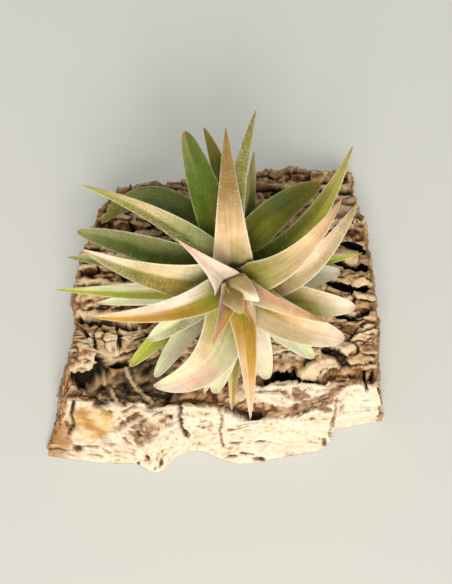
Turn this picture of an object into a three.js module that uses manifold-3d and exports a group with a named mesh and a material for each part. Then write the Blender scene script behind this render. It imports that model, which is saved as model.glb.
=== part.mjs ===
// A stemmed air plant of the ionantha kind, seated in a slab of virgin cork bark.
//
// Lengths are millimetres and angles are degrees. +Z is up, +X is to the right and -Y is the front.
// The origin is the middle of the bark's flat underside. The plant leans towards the front, so
// its leaves are described in a frame of their own: z runs up the stem from its foot, and
// azimuth 0 points right, 90 points to the back and 270 to the front.

import * as THREE from "three";
import { mergeVertices } from "three/addons/utils/BufferGeometryUtils.js";
import Module from "manifold-3d";

const wasm = await Module();
wasm.setup();

// Neighbours keep this gap. Cuts leave points closer than the weld distance, which become one.
const CLEARANCE = 0.3;
const CUT_WELD = 0.02;
const SHAPE_WELD = 1e-4;

// The plant's seat in the bark.
const FOOT = new THREE.Vector3(5.5, 8, 19);
const LEAN = 18;

// The bark slab is cut across at its left and right ends. Each side of its rim and of its
// base is a run of points, along X for the front and back and along Y for the two ends.
const BARK_RIM = {
  front: [[-39, -24], [-25, -24.5], [3, -26.5], [20, -27.5], [31.5, -24], [37, -20.5], [44.2, -21]],
  back: [[-27, 38.5], [-15, 40], [-5, 40.3], [11, 43.4], [25, 45], [38.8, 44.6]],
  left: [[-39, -24], [-37.5, -12], [-36.5, -4], [-37, 8], [-34.5, 20], [-30.5, 32], [-27, 38.5]],
  right: [[44.2, -21], [43.2, -11], [43.8, -6], [43, 4], [43.4, 12], [42.5, 22], [38.8, 44.6]],
};
const BARK_BASE = {
  front: [
    [-45.7, -36.7], [-31, -38.7], [-21.6, -39], [-17.4, -41], [-13.8, -41], [-11, -37], [-4, -35.4],
    [3, -38], [9.5, -39], [20, -37], [30.6, -34.8], [31.6, -30.3], [37, -28.7], [46, -27],
  ],
  back: [[-27.6, 39.3], [-15, 40.8], [-5, 41.2], [11, 44.3], [25, 46], [39.4, 45.4]],
  left: [[-45.7, -36.7], [-42, -22], [-39, -8], [-38.4, 8], [-35.6, 20], [-31.3, 32], [-27.6, 39.3]],
  right: [[46, -27], [45.2, -12], [45, 0], [44.4, 12], [43.3, 23], [39.4, 45.4]],
};
const BARK_CROWN = 20.5;
const BARK_CROWN_Y = 2;
const BARK_FALL = 8;
const BARK_FALL_REACH = 35;
const BARK_CELLS_X = 36;
const BARK_CELLS_Y = 30;
const BARK_WALL_RINGS = 4;

// Outer bark is plates parted by long fissures, which run along the trunk, here along X.
const SWELL = { along: 13, across: 6, height: 1.6 };
const FISSURE = { along: 24, across: 7, depth: 3.2, sharpness: 0.11, startX: 7, startY: 3 };
const WALL_LAYER = { along: 7, up: 3.5, depth: 1.1, start: 11 };
const SCATTER_STEPS = [127.1, 311.7];
const SCATTER_SCALE = 43758.5453;

// Single lumps and hollows of the slab: middle x and y, half lengths along x and y, and height.
const BARK_FORMS = [
  [-18.5, -20, 10, 7, -5],
  [-28.5, -7, 4.5, 3.2, 2.5],
  [-33.5, -13, 4, 4, 2.5],
  [-29, -2.8, 8, 1.6, -4],
  [-32, -19.6, 5, 2.2, -5],
  [-25, -12.7, 3.5, 2, -4],
  [25, 36.2, 15, 1.4, -3],
  [36.5, 30, 4, 1.5, -3],
  [40.5, 18, 4, 1.5, -3.5],
  [38.5, 12.4, 5.5, 2, -5],
  [40, 5.7, 5, 1.4, -3],
  [20, -12, 10, 3, 2],
  [18.5, -18, 9, 1.8, -4],
  [9.5, -27, 5, 1.6, -4],
];

// The bark is level round the plant's foot, with a soft edge.
const SEAT_HEIGHT = 18.2;
const SEAT_RADIUS = 6.5;
const SEAT_EDGE = 4;

// The stem, wrapped in old leaf sheaths, is thickest a little above its foot. Its outline is
// given by radius and height.
const STEM_SINK = 5;
const STEM_POINT = 4;
const STEM_SIDES = 12;
const STEM_OUTLINE = [
  [3, -STEM_SINK],
  [3, 0],
  [4.4, 5],
  [4.4, 16],
  [3.5, 26],
  [2.4, 33],
  [1.3, 37],
];

// Every leaf is a stiff gutter that narrows to its tip. It starts just under the stem's surface.
const LEAF_STATIONS = 10;
const LEAF_SIDES = 8;
const LEAF_LAST_STATION = 0.94;
const LEAF_SEATING = 0.9;
const LEAF_BASE_HALF_THICKNESS = 0.8;
const LEAF_TIP_HALF_THICKNESS = 0.3;
const LEAF_BASE_CHANNEL = 0.85;
const LEAF_TIP_CHANNEL = 0.5;
const LEAF_FOLD = 1.4;
const LEAF_ROOT_SHARE = 0.6;
const LEAF_ROOT_END = 0.2;
const BLUNT_MARGIN = 0.5;

// At t of its length a leaf is (1 - t^p)^q of its full width.
const TIP_SHAPES = {
  slender: { p: 1, q: 0.95 },
  sharp: { p: 1.15, q: 0.8 },
  tapered: { p: 1.7, q: 0.7 },
  blunt: { p: 2.6, q: 0.5 },
};

// One line for each leaf, youngest first. The columns are the azimuth, reach and height of its
// tip, the height of its node up the stem, the rise of its arch above the node, its turn from tip
// to root, where along its reach it arches over, its width, and its tip's shape.
const LEAVES = {
  heart_leaf: [
    [144.5, 16.1, 56, 36, 14, 0, 0.2, 8, "slender"],
    [327, 7.8, 50, 35.5, 12, 0, 0.35, 7, "tapered"],
    [284.4, 8.8, 45, 35, 9, 0, 0.35, 6.5, "tapered"],
    [296, 8.6, 43.5, 34, 7, 0, 0.4, 3.5, "sharp"],
    [294.7, 12.2, 46, 33.5, 9, 4, 0.4, 7, "sharp"],
  ],
  inner_leaf: [
    [252, 16.5, 47, 32, 11, 8, 0.42, 6.5, "sharp"],
    [335.7, 25.5, 44, 30.5, 12, -12, 0.42, 6, "sharp"],
    [37, 33.2, 43, 29.5, 11, -32, 0.48, 9.5, "sharp"],
    [194.4, 36.9, 38, 28.5, 11, 22, 0.45, 9, "sharp"],
    [276.8, 35, 38, 28, 11, 9, 0.42, 8.5, "sharp"],
    [93, 37.6, 40, 27, 13, -1, 0.42, 11, "sharp"],
    [332, 31.6, 33, 25.5, 9, -20, 0.5, 10.5, "blunt"],
  ],
  upper_leaf: [
    [168.5, 39.1, 34, 24, 10, 21, 0.45, 10, "sharp"],
    [32, 36.6, 36, 23.5, 10, -46, 0.5, 9, "sharp"],
    [232.8, 33.8, 28, 23, 9, 33, 0.77, 13, "tapered"],
    [82.4, 43, 36, 21.5, 12, 12, 0.45, 8, "sharp"],
    [148, 44.9, 34, 20.5, 10, -20, 0.42, 8.5, "sharp"],
    [347.4, 32, 26, 20, 8, -11, 0.45, 9, "blunt"],
    [48.4, 45, 35, 19.5, 10, -25, 0.48, 9, "sharp"],
  ],
  middle_leaf: [
    [215, 27, 19, 18.5, 6, 4, 0.42, 7, "blunt"],
    [183, 46, 24, 17.5, 8, 8, 0.42, 8, "sharp"],
    [108.2, 40.3, 24, 17, 9, -1, 0.45, 9.5, "blunt"],
    [289, 27.5, 15, 16, 4, 6, 0.45, 8.5, "blunt"],
    [260.4, 30.1, 16, 15, 5, 8, 0.45, 8.5, "blunt"],
    [162.6, 42.5, 21, 14.5, 8, -6, 0.42, 8, "blunt"],
    [255.5, 30.8, 17, 14, 5, 8, 0.45, 7, "tapered"],
    [231, 32.8, 14.5, 13.5, 5, -7, 0.45, 6.5, "blunt"],
    [316.4, 29.7, 13, 13, 5, -6, 0.42, 7.5, "tapered"],
    [101, 40.8, 18, 12, 8, -10, 0.6, 7, "tapered"],
    [172, 44.2, 15, 10.5, 6, -4, 0.42, 7, "tapered"],
    [269.3, 34.4, 14.5, 10, 6, 3, 0.42, 5.5, "tapered"],
  ],
  outer_leaf: [
    [48, 34.8, 9, 11, 6, 24, 0.5, 9.5, "blunt"],
    [4.8, 28.7, 9, 10.5, 5, -4, 0.42, 8, "blunt"],
    [156.6, 39.4, 0, 9, 9, -37, 0.95, 9.5, "tapered"],
    [189.4, 37, 11, 8.5, 5, 4, 0.42, 7, "tapered"],
    [80.7, 35.5, 5, 8, 6, -6, 0.42, 5, "tapered"],
    [30.3, 32.9, 6, 6.5, 5, -5, 0.42, 7, "tapered"],
    [219.7, 35.8, 11, 7, 5, -8, 0.42, 6, "tapered"],
    [12.2, 36, 5, 5, 4, -3, 0.42, 5, "sharp"],
  ],
  dry_leaf: [
    [300, 17, 8, 6, 3, 0, 0.42, 5, "tapered"],
    [122, 19, 0, 4, 3, 0, 0.42, 5.5, "tapered"],
    [247, 16, 7, 4.5, 2.5, 0, 0.42, 5, "tapered"],
    [65, 17, 0, 3.5, 3, 0, 0.42, 5, "tapered"],
    [338, 18, 4.5, 3.5, 2.5, 0, 0.42, 5, "tapered"],
    [190, 18, 3, 3, 3, 0, 0.42, 5, "tapered"],
  ],
};

const COLOURS = {
  cork_bark: { color: 0x9a7b5c, roughness: 0.95 },
  stem: { color: 0x6f5a3c, roughness: 0.9 },
  heart_leaf: { color: 0xe6c4a4, roughness: 0.7 },
  inner_leaf: { color: 0xdcb887, roughness: 0.7 },
  upper_leaf: { color: 0xa8a05c, roughness: 0.75 },
  middle_leaf: { color: 0x7f9450, roughness: 0.75 },
  outer_leaf: { color: 0x71865a, roughness: 0.8 },
  dry_leaf: { color: 0x8a6a48, roughness: 0.9 },
};

const radians = THREE.MathUtils.degToRad;

function cylinderPoint(radius, azimuth, height) {
  const angle = radians(azimuth);
  return new THREE.Vector3(radius * Math.cos(angle), radius * Math.sin(angle), height);
}

// A closed mesh as a solid, with vertices closer than the weld distance made one.
function solidFromGeometry(geometry, weld = SHAPE_WELD) {
  const plain = geometry.clone();
  plain.deleteAttribute("normal");
  plain.deleteAttribute("uv");
  const merged = mergeVertices(plain, weld);
  const corners = merged.index.array;
  const kept = [];
  for (let i = 0; i < corners.length; i += 3) {
    const [a, b, c] = corners.slice(i, i + 3);
    if (a !== b && b !== c && c !== a) {
      kept.push(a, b, c);
    }
  }
  return new wasm.Manifold(
    new wasm.Mesh({
      numProp: 3,
      vertProperties: new Float32Array(merged.attributes.position.array),
      triVerts: new Uint32Array(kept),
    }),
  );
}

function geometryFromSolid(solid) {
  const mesh = solid.getMesh();
  const geometry = new THREE.BufferGeometry();
  geometry.setAttribute("position", new THREE.BufferAttribute(mesh.vertProperties, 3));
  geometry.setIndex(new THREE.BufferAttribute(mesh.triVerts, 1));
  geometry.computeVertexNormals();
  return geometry;
}

function indexedGeometry(points, triangles) {
  const geometry = new THREE.BufferGeometry().setFromPoints(points);
  geometry.setIndex(triangles);
  return geometry;
}

// The largest connected body of a cut solid, without the crumbs and slivers that the cuts left.
function mainBody(solid) {
  const welded = solidFromGeometry(geometryFromSolid(solid), CUT_WELD);
  return welded.decompose().reduce((best, body) => (body.volume() > best.volume() ? body : best));
}

// The stem's radius at a height above its foot.
function stemRadius(height) {
  const upper = STEM_OUTLINE.findIndex((corner) => corner[1] >= height);
  const [lowRadius, low] = STEM_OUTLINE[upper - 1];
  const [highRadius, high] = STEM_OUTLINE[upper];
  return THREE.MathUtils.mapLinear(height, low, high, lowRadius, highRadius);
}

// The stem, or with room added the space that is kept clear for it.
function stemSolid(room) {
  const wall = STEM_OUTLINE.map(([radius, height]) => new THREE.Vector2(radius + room, height));
  wall[0].y -= room;
  const foot = new THREE.Vector2(0, wall[0].y);
  const point = new THREE.Vector2(0, wall[wall.length - 1].y + STEM_POINT + room);
  const lathe = new THREE.LatheGeometry([foot, ...wall, point], STEM_SIDES);
  return solidFromGeometry(lathe.rotateX(Math.PI / 2));
}

// A leaf's middle line: out of the stem, over its arch and on to its tip.
function leafCurve([azimuth, reach, tipHeight, nodeHeight, lift, turn, archPlace]) {
  const seat = stemRadius(nodeHeight) * LEAF_SEATING;
  const root = cylinderPoint(seat, azimuth + turn, nodeHeight);
  const arch = cylinderPoint(reach * archPlace, azimuth + turn, nodeHeight + lift);
  const tip = cylinderPoint(reach, azimuth, tipHeight);
  return new THREE.QuadraticBezierCurve3(root, arch, tip);
}

// A leaf's cross-section as places across it and up or down through it, each from -1 to 1. The
// space kept clear round a leaf has blunt margins.
function leafSection(blunt) {
  const section = [];
  for (let k = 0; k < LEAF_SIDES; k++) {
    const angle = (k / LEAF_SIDES) * 2 * Math.PI;
    const across = Math.cos(angle);
    if (blunt && k % (LEAF_SIDES / 2) === 0) {
      section.push([across, -across * BLUNT_MARGIN], [across, across * BLUNT_MARGIN]);
    } else {
      section.push([across, Math.sin(angle)]);
    }
  }
  return section;
}

// A leaf as rings of points round its middle line. Room makes it thicker and longer all round.
function leafSolid(leaf, room) {
  const [width, tipShape] = leaf.slice(-2);
  const { p, q } = TIP_SHAPES[tipShape];
  const curve = leafCurve(leaf);
  const section = leafSection(room > 0);
  const up = new THREE.Vector3(0, 0, 1);
  const points = [];
  for (let i = 0; i < LEAF_STATIONS; i++) {
    const t = (i / (LEAF_STATIONS - 1)) * LEAF_LAST_STATION;
    const tangent = curve.getTangent(t);
    const centre = curve.getPoint(t).addScaledVector(tangent, i === 0 ? -room : 0);
    const side = new THREE.Vector3().crossVectors(tangent, up).normalize();
    const normal = new THREE.Vector3().crossVectors(side, tangent);
    const fromRoot = THREE.MathUtils.smoothstep(t, 0, LEAF_ROOT_END);
    const rootShare = THREE.MathUtils.lerp(LEAF_ROOT_SHARE, 1, fromRoot);
    const halfWidth = (width / 2) * rootShare * (1 - t ** p) ** q;
    const halfThickness =
      THREE.MathUtils.lerp(LEAF_BASE_HALF_THICKNESS, LEAF_TIP_HALF_THICKNESS, t) + room;
    const depth = THREE.MathUtils.lerp(LEAF_BASE_CHANNEL, LEAF_TIP_CHANNEL, Math.sqrt(t));
    for (const [across, through] of section) {
      const offset = across * (halfWidth + room);
      const channel = depth * halfWidth * Math.abs(offset / halfWidth) ** LEAF_FOLD;
      points.push(
        centre
          .clone()
          .addScaledVector(side, offset)
          .addScaledVector(normal, channel + through * halfThickness),
      );
    }
  }
  const apex = points.push(curve.getPoint(1).addScaledVector(curve.getTangent(1), 2 * room)) - 1;
  const sides = section.length;
  const triangles = [];
  for (let i = 0; i < LEAF_STATIONS; i++) {
    for (let k = 0; k < sides; k++) {
      const here = i * sides + k;
      const next = i * sides + ((k + 1) % sides);
      if (i === LEAF_STATIONS - 1) {
        triangles.push(here, apex, next);
      } else {
        triangles.push(here, here + sides, next, next, here + sides, next + sides);
      }
    }
  }
  for (let k = 1; k < sides - 1; k++) {
    triangles.push(0, k, k + 1);
  }
  return solidFromGeometry(indexedGeometry(points, triangles));
}

// A fixed scatter of values from 0 to 1 at whole-number places, and the smooth field through them.
function scatter(i, j) {
  const value = Math.sin(i * SCATTER_STEPS[0] + j * SCATTER_STEPS[1]) * SCATTER_SCALE;
  return value - Math.floor(value);
}

function field(x, y) {
  const i = Math.floor(x);
  const j = Math.floor(y);
  const u = THREE.MathUtils.smoothstep(x - i, 0, 1);
  const v = THREE.MathUtils.smoothstep(y - j, 0, 1);
  const near = THREE.MathUtils.lerp(scatter(i, j), scatter(i + 1, j), u);
  const far = THREE.MathUtils.lerp(scatter(i, j + 1), scatter(i + 1, j + 1), u);
  return THREE.MathUtils.lerp(near, far, v);
}

function barkHeight(x, y) {
  let height = BARK_CROWN - BARK_FALL * ((y - BARK_CROWN_Y) / BARK_FALL_REACH) ** 2;
  height += SWELL.height * (2 * field(x / SWELL.along, y / SWELL.across) - 1);
  const parting =
    field(x / FISSURE.along + FISSURE.startX, y / FISSURE.across + FISSURE.startY) - 0.5;
  height -= FISSURE.depth * Math.exp(-((parting / FISSURE.sharpness) ** 2));
  for (const [cx, cy, rx, ry, rise] of BARK_FORMS) {
    height += rise * Math.exp(-(((x - cx) / rx) ** 2) - ((y - cy) / ry) ** 2);
  }
  const fromFoot = Math.hypot(x - FOOT.x, y - FOOT.y) / SEAT_RADIUS;
  return THREE.MathUtils.lerp(height, SEAT_HEIGHT, Math.exp(-(fromFoot ** SEAT_EDGE)));
}

function edgePoint(edge, t) {
  return new THREE.SplineCurve(edge.map(([x, y]) => new THREE.Vector2(x, y))).getPoint(t);
}

// A point inside four edges, blended from them, with u along X and v along Y.
function insidePoint(edges, u, v) {
  const alongX = edgePoint(edges.front, u).lerp(edgePoint(edges.back, u), v);
  const alongY = edgePoint(edges.left, v).lerp(edgePoint(edges.right, v), u);
  const frontEdge = edgePoint(edges.front, 0).lerp(edgePoint(edges.front, 1), u);
  const backEdge = edgePoint(edges.back, 0).lerp(edgePoint(edges.back, 1), u);
  return alongX.add(alongY).sub(frontEdge.lerp(backEdge, v));
}

// Grid places round the slab's edge, anticlockwise from the front left corner.
function rimPlaces() {
  const places = [];
  for (let i = 0; i < BARK_CELLS_X; i++) {
    places.push([i, 0]);
  }
  for (let j = 0; j < BARK_CELLS_Y; j++) {
    places.push([BARK_CELLS_X, j]);
  }
  for (let i = BARK_CELLS_X; i > 0; i--) {
    places.push([i, BARK_CELLS_Y]);
  }
  for (let j = BARK_CELLS_Y; j > 0; j--) {
    places.push([0, j]);
  }
  return places;
}

function barkSolid() {
  const points = [];
  const triangles = [];
  const columns = BARK_CELLS_X + 1;
  for (let j = 0; j <= BARK_CELLS_Y; j++) {
    for (let i = 0; i < columns; i++) {
      const { x, y } = insidePoint(BARK_RIM, i / BARK_CELLS_X, j / BARK_CELLS_Y);
      points.push(new THREE.Vector3(x, y, barkHeight(x, y)));
      if (i < BARK_CELLS_X && j < BARK_CELLS_Y) {
        const here = j * columns + i;
        triangles.push(here, here + 1, here + columns);
        triangles.push(here + 1, here + columns + 1, here + columns);
      }
    }
  }

  // The wall's rings run from the rim down to the flat base.
  const places = rimPlaces();
  let above = places.map(([i, j]) => j * columns + i);
  for (let ring = 1; ring <= BARK_WALL_RINGS; ring++) {
    const down = ring / BARK_WALL_RINGS;
    const here = places.map(([i, j]) => {
      const rim = points[j * columns + i];
      const base = insidePoint(BARK_BASE, i / BARK_CELLS_X, j / BARK_CELLS_Y);
      const z = rim.z * (1 - down);
      const plan = new THREE.Vector2(rim.x, rim.y).lerp(base, down);
      const layer = field((rim.x + rim.y) / WALL_LAYER.along, z / WALL_LAYER.up + WALL_LAYER.start);
      const swell = ring < BARK_WALL_RINGS ? layer * WALL_LAYER.depth : 0;
      plan.setLength(plan.length() + swell);
      return points.push(new THREE.Vector3(plan.x, plan.y, z)) - 1;
    });
    here.forEach((lower, index) => {
      const next = (index + 1) % here.length;
      triangles.push(above[index], lower, above[next]);
      triangles.push(above[next], lower, here[next]);
    });
    above = here;
  }

  const outline = above.map((index) => new THREE.Vector2(points[index].x, points[index].y));
  for (const [a, b, c] of THREE.ShapeUtils.triangulateShape(outline, [])) {
    triangles.push(above[a], above[c], above[b]);
  }
  return solidFromGeometry(indexedGeometry(points, triangles));
}

function meshOf(name, slot, solid) {
  const mesh = new THREE.Mesh(
    geometryFromSolid(solid),
    new THREE.MeshStandardMaterial({ ...COLOURS[slot], metalness: 0 }),
  );
  mesh.name = name;
  return mesh;
}

const plant = new THREE.Group();
plant.position.copy(FOOT);
plant.rotation.x = radians(LEAN);
plant.add(meshOf("stem", "stem", stemSolid(0)));

// Younger leaves stand inside older ones, so each older leaf's sheath is cut back round them.
const taken = [stemSolid(CLEARANCE)];
for (const [tier, rows] of Object.entries(LEAVES)) {
  rows.forEach((leaf, index) => {
    const whole = leafSolid(leaf, 0);
    const trimmed = mainBody(taken.reduce((solid, cutter) => solid.subtract(cutter), whole));
    taken.push(leafSolid(leaf, CLEARANCE));
    plant.add(meshOf(`${tier}_${index + 1}`, tier, trimmed));
  });
}

// The stem's foot stands in a plain hole in the bark.
plant.updateMatrix();
const socket = stemSolid(CLEARANCE).transform(plant.matrix.elements);
const bark = meshOf("cork_bark", "cork_bark", barkSolid().subtract(socket));

const airPlant = new THREE.Group();
airPlant.add(bark, plant);

export default airPlant;
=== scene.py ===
# %% [markdown]
# # A stemmed air plant on cork bark
#
# This scene dresses a small plant that lives on bark: a rosette of stiff, gutter-shaped leaves with
# silver scales, on a short stem that stands in a slab of virgin cork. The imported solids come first.
# They fix every size and place, and each piece made below stands where its solid stands.

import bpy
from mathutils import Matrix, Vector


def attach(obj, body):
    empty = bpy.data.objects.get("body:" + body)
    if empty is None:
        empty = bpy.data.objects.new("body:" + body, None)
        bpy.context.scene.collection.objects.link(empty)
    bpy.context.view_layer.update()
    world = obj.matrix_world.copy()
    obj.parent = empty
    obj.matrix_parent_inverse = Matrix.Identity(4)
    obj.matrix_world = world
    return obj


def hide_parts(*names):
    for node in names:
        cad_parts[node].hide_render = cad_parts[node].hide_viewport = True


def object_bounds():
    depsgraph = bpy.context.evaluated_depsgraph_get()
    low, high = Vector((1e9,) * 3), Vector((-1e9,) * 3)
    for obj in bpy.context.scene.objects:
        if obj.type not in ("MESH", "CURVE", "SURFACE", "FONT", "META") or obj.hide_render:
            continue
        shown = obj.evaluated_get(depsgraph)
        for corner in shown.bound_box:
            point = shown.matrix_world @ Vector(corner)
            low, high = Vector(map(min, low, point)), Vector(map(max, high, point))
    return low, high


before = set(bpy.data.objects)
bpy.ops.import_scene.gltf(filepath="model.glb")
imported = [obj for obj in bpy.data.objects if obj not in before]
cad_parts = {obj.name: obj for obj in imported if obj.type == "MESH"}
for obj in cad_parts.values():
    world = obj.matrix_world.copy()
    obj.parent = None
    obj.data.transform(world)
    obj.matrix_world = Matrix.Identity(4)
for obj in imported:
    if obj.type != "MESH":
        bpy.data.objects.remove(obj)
cad_low, cad_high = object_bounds()
print("CAD box in mm:", [round(1000 * side, 1) for side in cad_high - cad_low])

# %% [markdown]
# ## Small tools
#
# Colours are written as sRGB hex values, as a paint chart gives them. Blender works in linear
# light, so one function turns them. Another adds a node to any tree, sets it and links it, which
# keeps long trees readable. The rest blend colours, start a material, a tree of nodes or an object,
# and carry numbers to and from a mesh. Most sizes are written in millimetres, and MM turns them to
# metres, which is Blender's unit.

# %% Tools used all through
import math
from functools import partial

import bpy
import numpy as np
from mathutils import Matrix, Vector

MM = 0.001
MATH, VECTOR_MATH = "ShaderNodeMath", "ShaderNodeVectorMath"
scene = bpy.context.scene


def linear(hex_code):
    """An sRGB hex colour as the linear red, green, blue and alpha that Blender holds."""
    channels = [int(hex_code[i : i + 2], 16) / 255 for i in (1, 3, 5)]
    return [c / 12.92 if c <= 0.04045 else ((c + 0.055) / 1.055) ** 2.4 for c in channels] + [1.0]


def colour_run(values, places, hex_codes):
    """Linear colours for these values, blended between the colours that stand at these places."""
    stops = np.array([linear(hex_code) for hex_code in hex_codes])
    return np.stack([np.interp(values, places, stops[:, c]) for c in range(4)], axis=1)


def add(tree, kind, *inputs, **settings):
    """A node of this kind. Inputs come in order or by name in a dict: nodes, sockets or values."""
    made = tree.nodes.new(kind)
    for name, value in settings.items():
        setattr(made, name, value)
    named = {}
    for place, item in enumerate(inputs):
        named.update(item if isinstance(item, dict) else {place: item})
    for name, value in named.items():
        if isinstance(value, bpy.types.Node):
            value = value.outputs[0]
        if isinstance(value, bpy.types.NodeSocket):
            tree.links.new(value, made.inputs[name])
        else:
            made.inputs[name].default_value = value
    return made


def new_material(name, constants):
    """A material, its tree and its surface shader, with these constants set on the shader's sockets."""
    material = bpy.data.materials.new(name)
    material.use_nodes = True
    surface = material.node_tree.nodes["Principled BSDF"]
    for socket, value in constants.items():
        surface.inputs[socket].default_value = value
    return material, material.node_tree, surface


def new_tree(name, inputs):
    """A Geometry Nodes tree with these named inputs and an output Shape, and its input sockets."""
    tree = bpy.data.node_groups.new(name, "GeometryNodeTree")
    tree.interface.new_socket("Shape", in_out="OUTPUT", socket_type="NodeSocketGeometry")
    kinds = {int: "NodeSocketInt", float: "NodeSocketFloat", tuple: "NodeSocketVector"}
    for input_name, value in inputs.items():
        kind = kinds.get(type(value), "NodeSocketGeometry")
        socket = tree.interface.new_socket(input_name, in_out="INPUT", socket_type=kind)
        if value is not None:
            socket.default_value = value
    return tree, add(tree, "NodeGroupInput").outputs


def new_object(name, data):
    """An object in the scene that holds this mesh, lamp or camera."""
    made = bpy.data.objects.new(name, data)
    scene.collection.objects.link(made)
    return made


def mesh_object(name, points, faces):
    """A smooth-shaded object from an array of points in millimetres."""
    mesh = bpy.data.meshes.new(name)
    mesh.from_pydata((np.asarray(points) * MM).tolist(), [], faces)
    mesh.shade_smooth()
    return new_object(name, mesh)


def write_attribute(mesh, name, values):
    """Point values as a named attribute: numbers, vectors or linear colours."""
    values = np.asarray(values, dtype=np.float32)
    kinds = {1: ("FLOAT", "value"), 3: ("FLOAT_VECTOR", "vector"), 4: ("FLOAT_COLOR", "color")}
    kind, field_name = kinds[values.size // len(values)]
    mesh.attributes.new(name, kind, "POINT").data.foreach_set(field_name, values.ravel())


def read_attribute(mesh, name):
    """A named number attribute as an array with one value for each point."""
    values = np.zeros(len(mesh.vertices), dtype=np.float32)
    mesh.attributes[name].data.foreach_get("value", values)
    return values


def vertex_rows(mesh, what="co"):
    """The mesh's points, or their normals, as rows of three numbers."""
    values = np.zeros(len(mesh.vertices) * 3)
    mesh.vertices.foreach_get(what, values)
    return values.reshape(-1, 3)


# %% [markdown]
# ## Noise
#
# Grown things repeat without being equal. The functions below give smooth, crested and blocky
# noise from whole-number places alone, so the plant and its bark come out the same at every run.

# %% Scattered values and the noises made from them
def scatter(i, j, seed=0):
    """A fixed value from 0 to 1 for every whole-number place."""
    value = np.sin(i * 127.1 + j * 311.7 + seed * 74.7) * 43758.5453
    return value - np.floor(value)


def ease(value, low, high):
    """0 below low, 1 above high, and a smooth step between."""
    t = np.clip((value - low) / (high - low), 0, 1)
    return t * t * (3 - 2 * t)


def field(x, y, seed=0):
    """The smooth field through the scattered values."""
    i, j = np.floor(x), np.floor(y)
    u, v = ease(x - i, 0, 1), ease(y - j, 0, 1)
    near = scatter(i, j, seed) * (1 - u) + scatter(i + 1, j, seed) * u
    far = scatter(i, j + 1, seed) * (1 - u) + scatter(i + 1, j + 1, seed) * u
    return near * (1 - v) + far * v


def fractal(x, y, seed, octaves=4):
    """Fields of halving size and height added up, from about -1 to 1."""
    total = 0
    for k in range(octaves):
        total = total + (field(x * 2**k, y * 2**k, seed + 7 * k) * 2 - 1) * 0.5**k
    return total / 1.6


def crests(x, y, seed, octaves=4):
    """Sharp crests between rounded valleys, from 0 to 1, with finer ones on them."""
    total, most = 0, 0
    for k in range(octaves):
        total = total + (1 - np.abs(field(x * 2**k, y * 2**k, seed + 5 * k) * 2 - 1)) * 0.55**k
        most += 0.55**k
    return total / most


def blocks(x, y, seed):
    """Jittered cells: the gap to the next cell, a tilted height, and a value for each cell."""
    i, j = np.floor(x), np.floor(y)
    first, second = np.full(x.shape, 9.0), np.full(x.shape, 9.0)
    own, height = np.zeros(x.shape), np.zeros(x.shape)
    for di in (-1, 0, 1):
        for dj in (-1, 0, 1):
            ci, cj = i + di, j + dj
            east = x - ci - 0.05 - 0.9 * scatter(ci, cj, seed)
            north = y - cj - 0.05 - 0.9 * scatter(ci, cj, seed + 1)
            away = np.hypot(east, north)
            nearer = away < first
            second = np.where(nearer, first, np.minimum(second, away))
            value = scatter(ci, cj, seed + 2)
            lean_x, lean_y = scatter(ci, cj, seed + 3) - 0.5, scatter(ci, cj, seed + 4) - 0.5
            tilted = value - 0.5 + 1.6 * (lean_x * east + lean_y * north)
            own = np.where(nearer, value, own)
            height = np.where(nearer, tilted, height)
            first = np.where(nearer, away, first)
    return second - first, height, own


def blurred(grid, reach):
    """The grid averaged over this many cells each way."""
    window = np.ones(2 * reach + 1) / (2 * reach + 1)
    for axis in (0, 1):
        grid = np.apply_along_axis(
            lambda line: np.convolve(np.pad(line, reach, mode="edge"), window, mode="valid"), axis, grid
        )
    return grid


# %% [markdown]
# ## Camera
#
# The photograph looks steeply down on the plant. How much of the bark's front face shows gives the
# angle: about 72 degrees above the horizon. A long lens at arm's length keeps the near and far
# leaves at nearly the same scale.

# %% Place the camera
CAMERA_ELEVATION = 72
CAMERA_DISTANCE = 400
CAMERA_AIM = (3.6, 5.1, 18.1)
CAMERA_LENS = 90

tilt = math.radians(CAMERA_ELEVATION)
back_off = Vector((0, -math.cos(tilt), math.sin(tilt))) * CAMERA_DISTANCE
camera = new_object("camera", bpy.data.cameras.new("camera"))
camera.data.lens = CAMERA_LENS
camera.location = (Vector(CAMERA_AIM) + back_off) * MM
camera.rotation_euler = (math.pi / 2 - tilt, 0, 0)
scene.camera = camera
print("camera at", [round(v, 3) for v in camera.location])

# %% [markdown]
# ## Floor and light
#
# The plant is pictured on pale board, with hardly any shadow round the bark. A large soft light low
# in front of it lights the cut face of the bark and the near leaves, and leaves the back in shade. A
# weak light from behind and an even sky keep that shade open. The board is acrylic that is lit a
# little from below, because its own light fills the shadow that the lamps would leave on it.

# %% Lay the floor
FLOOR_HALF_WIDTH = 6000
FLOOR_DROP = 0.2
BOARD_GLOW = 0.25

floor_height = cad_low.z / MM - FLOOR_DROP
corners = [(-1, -1), (1, -1), (1, 1), (-1, 1)]
floor_points = [(x * FLOOR_HALF_WIDTH, y * FLOOR_HALF_WIDTH, floor_height) for x, y in corners]
floor = mesh_object("floor", floor_points, [(0, 1, 2, 3)])

# Frosted acrylic with light under it: to the eye it is matt, pale and even, with hardly a shadow.
board_finish = {
    "Base Color": linear("#B2B3AF"),
    "Roughness": 0.9,
    "Emission Color": linear("#F6F9F4"),
    "Emission Strength": BOARD_GLOW,
}
board, _, _ = new_material("pale acrylic lit from below", board_finish)
floor.data.materials.append(board)
print("floor at", round(floor_height, 2), "mm")

# %% Hang the lights
SKY_STRENGTH = 0.35


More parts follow.
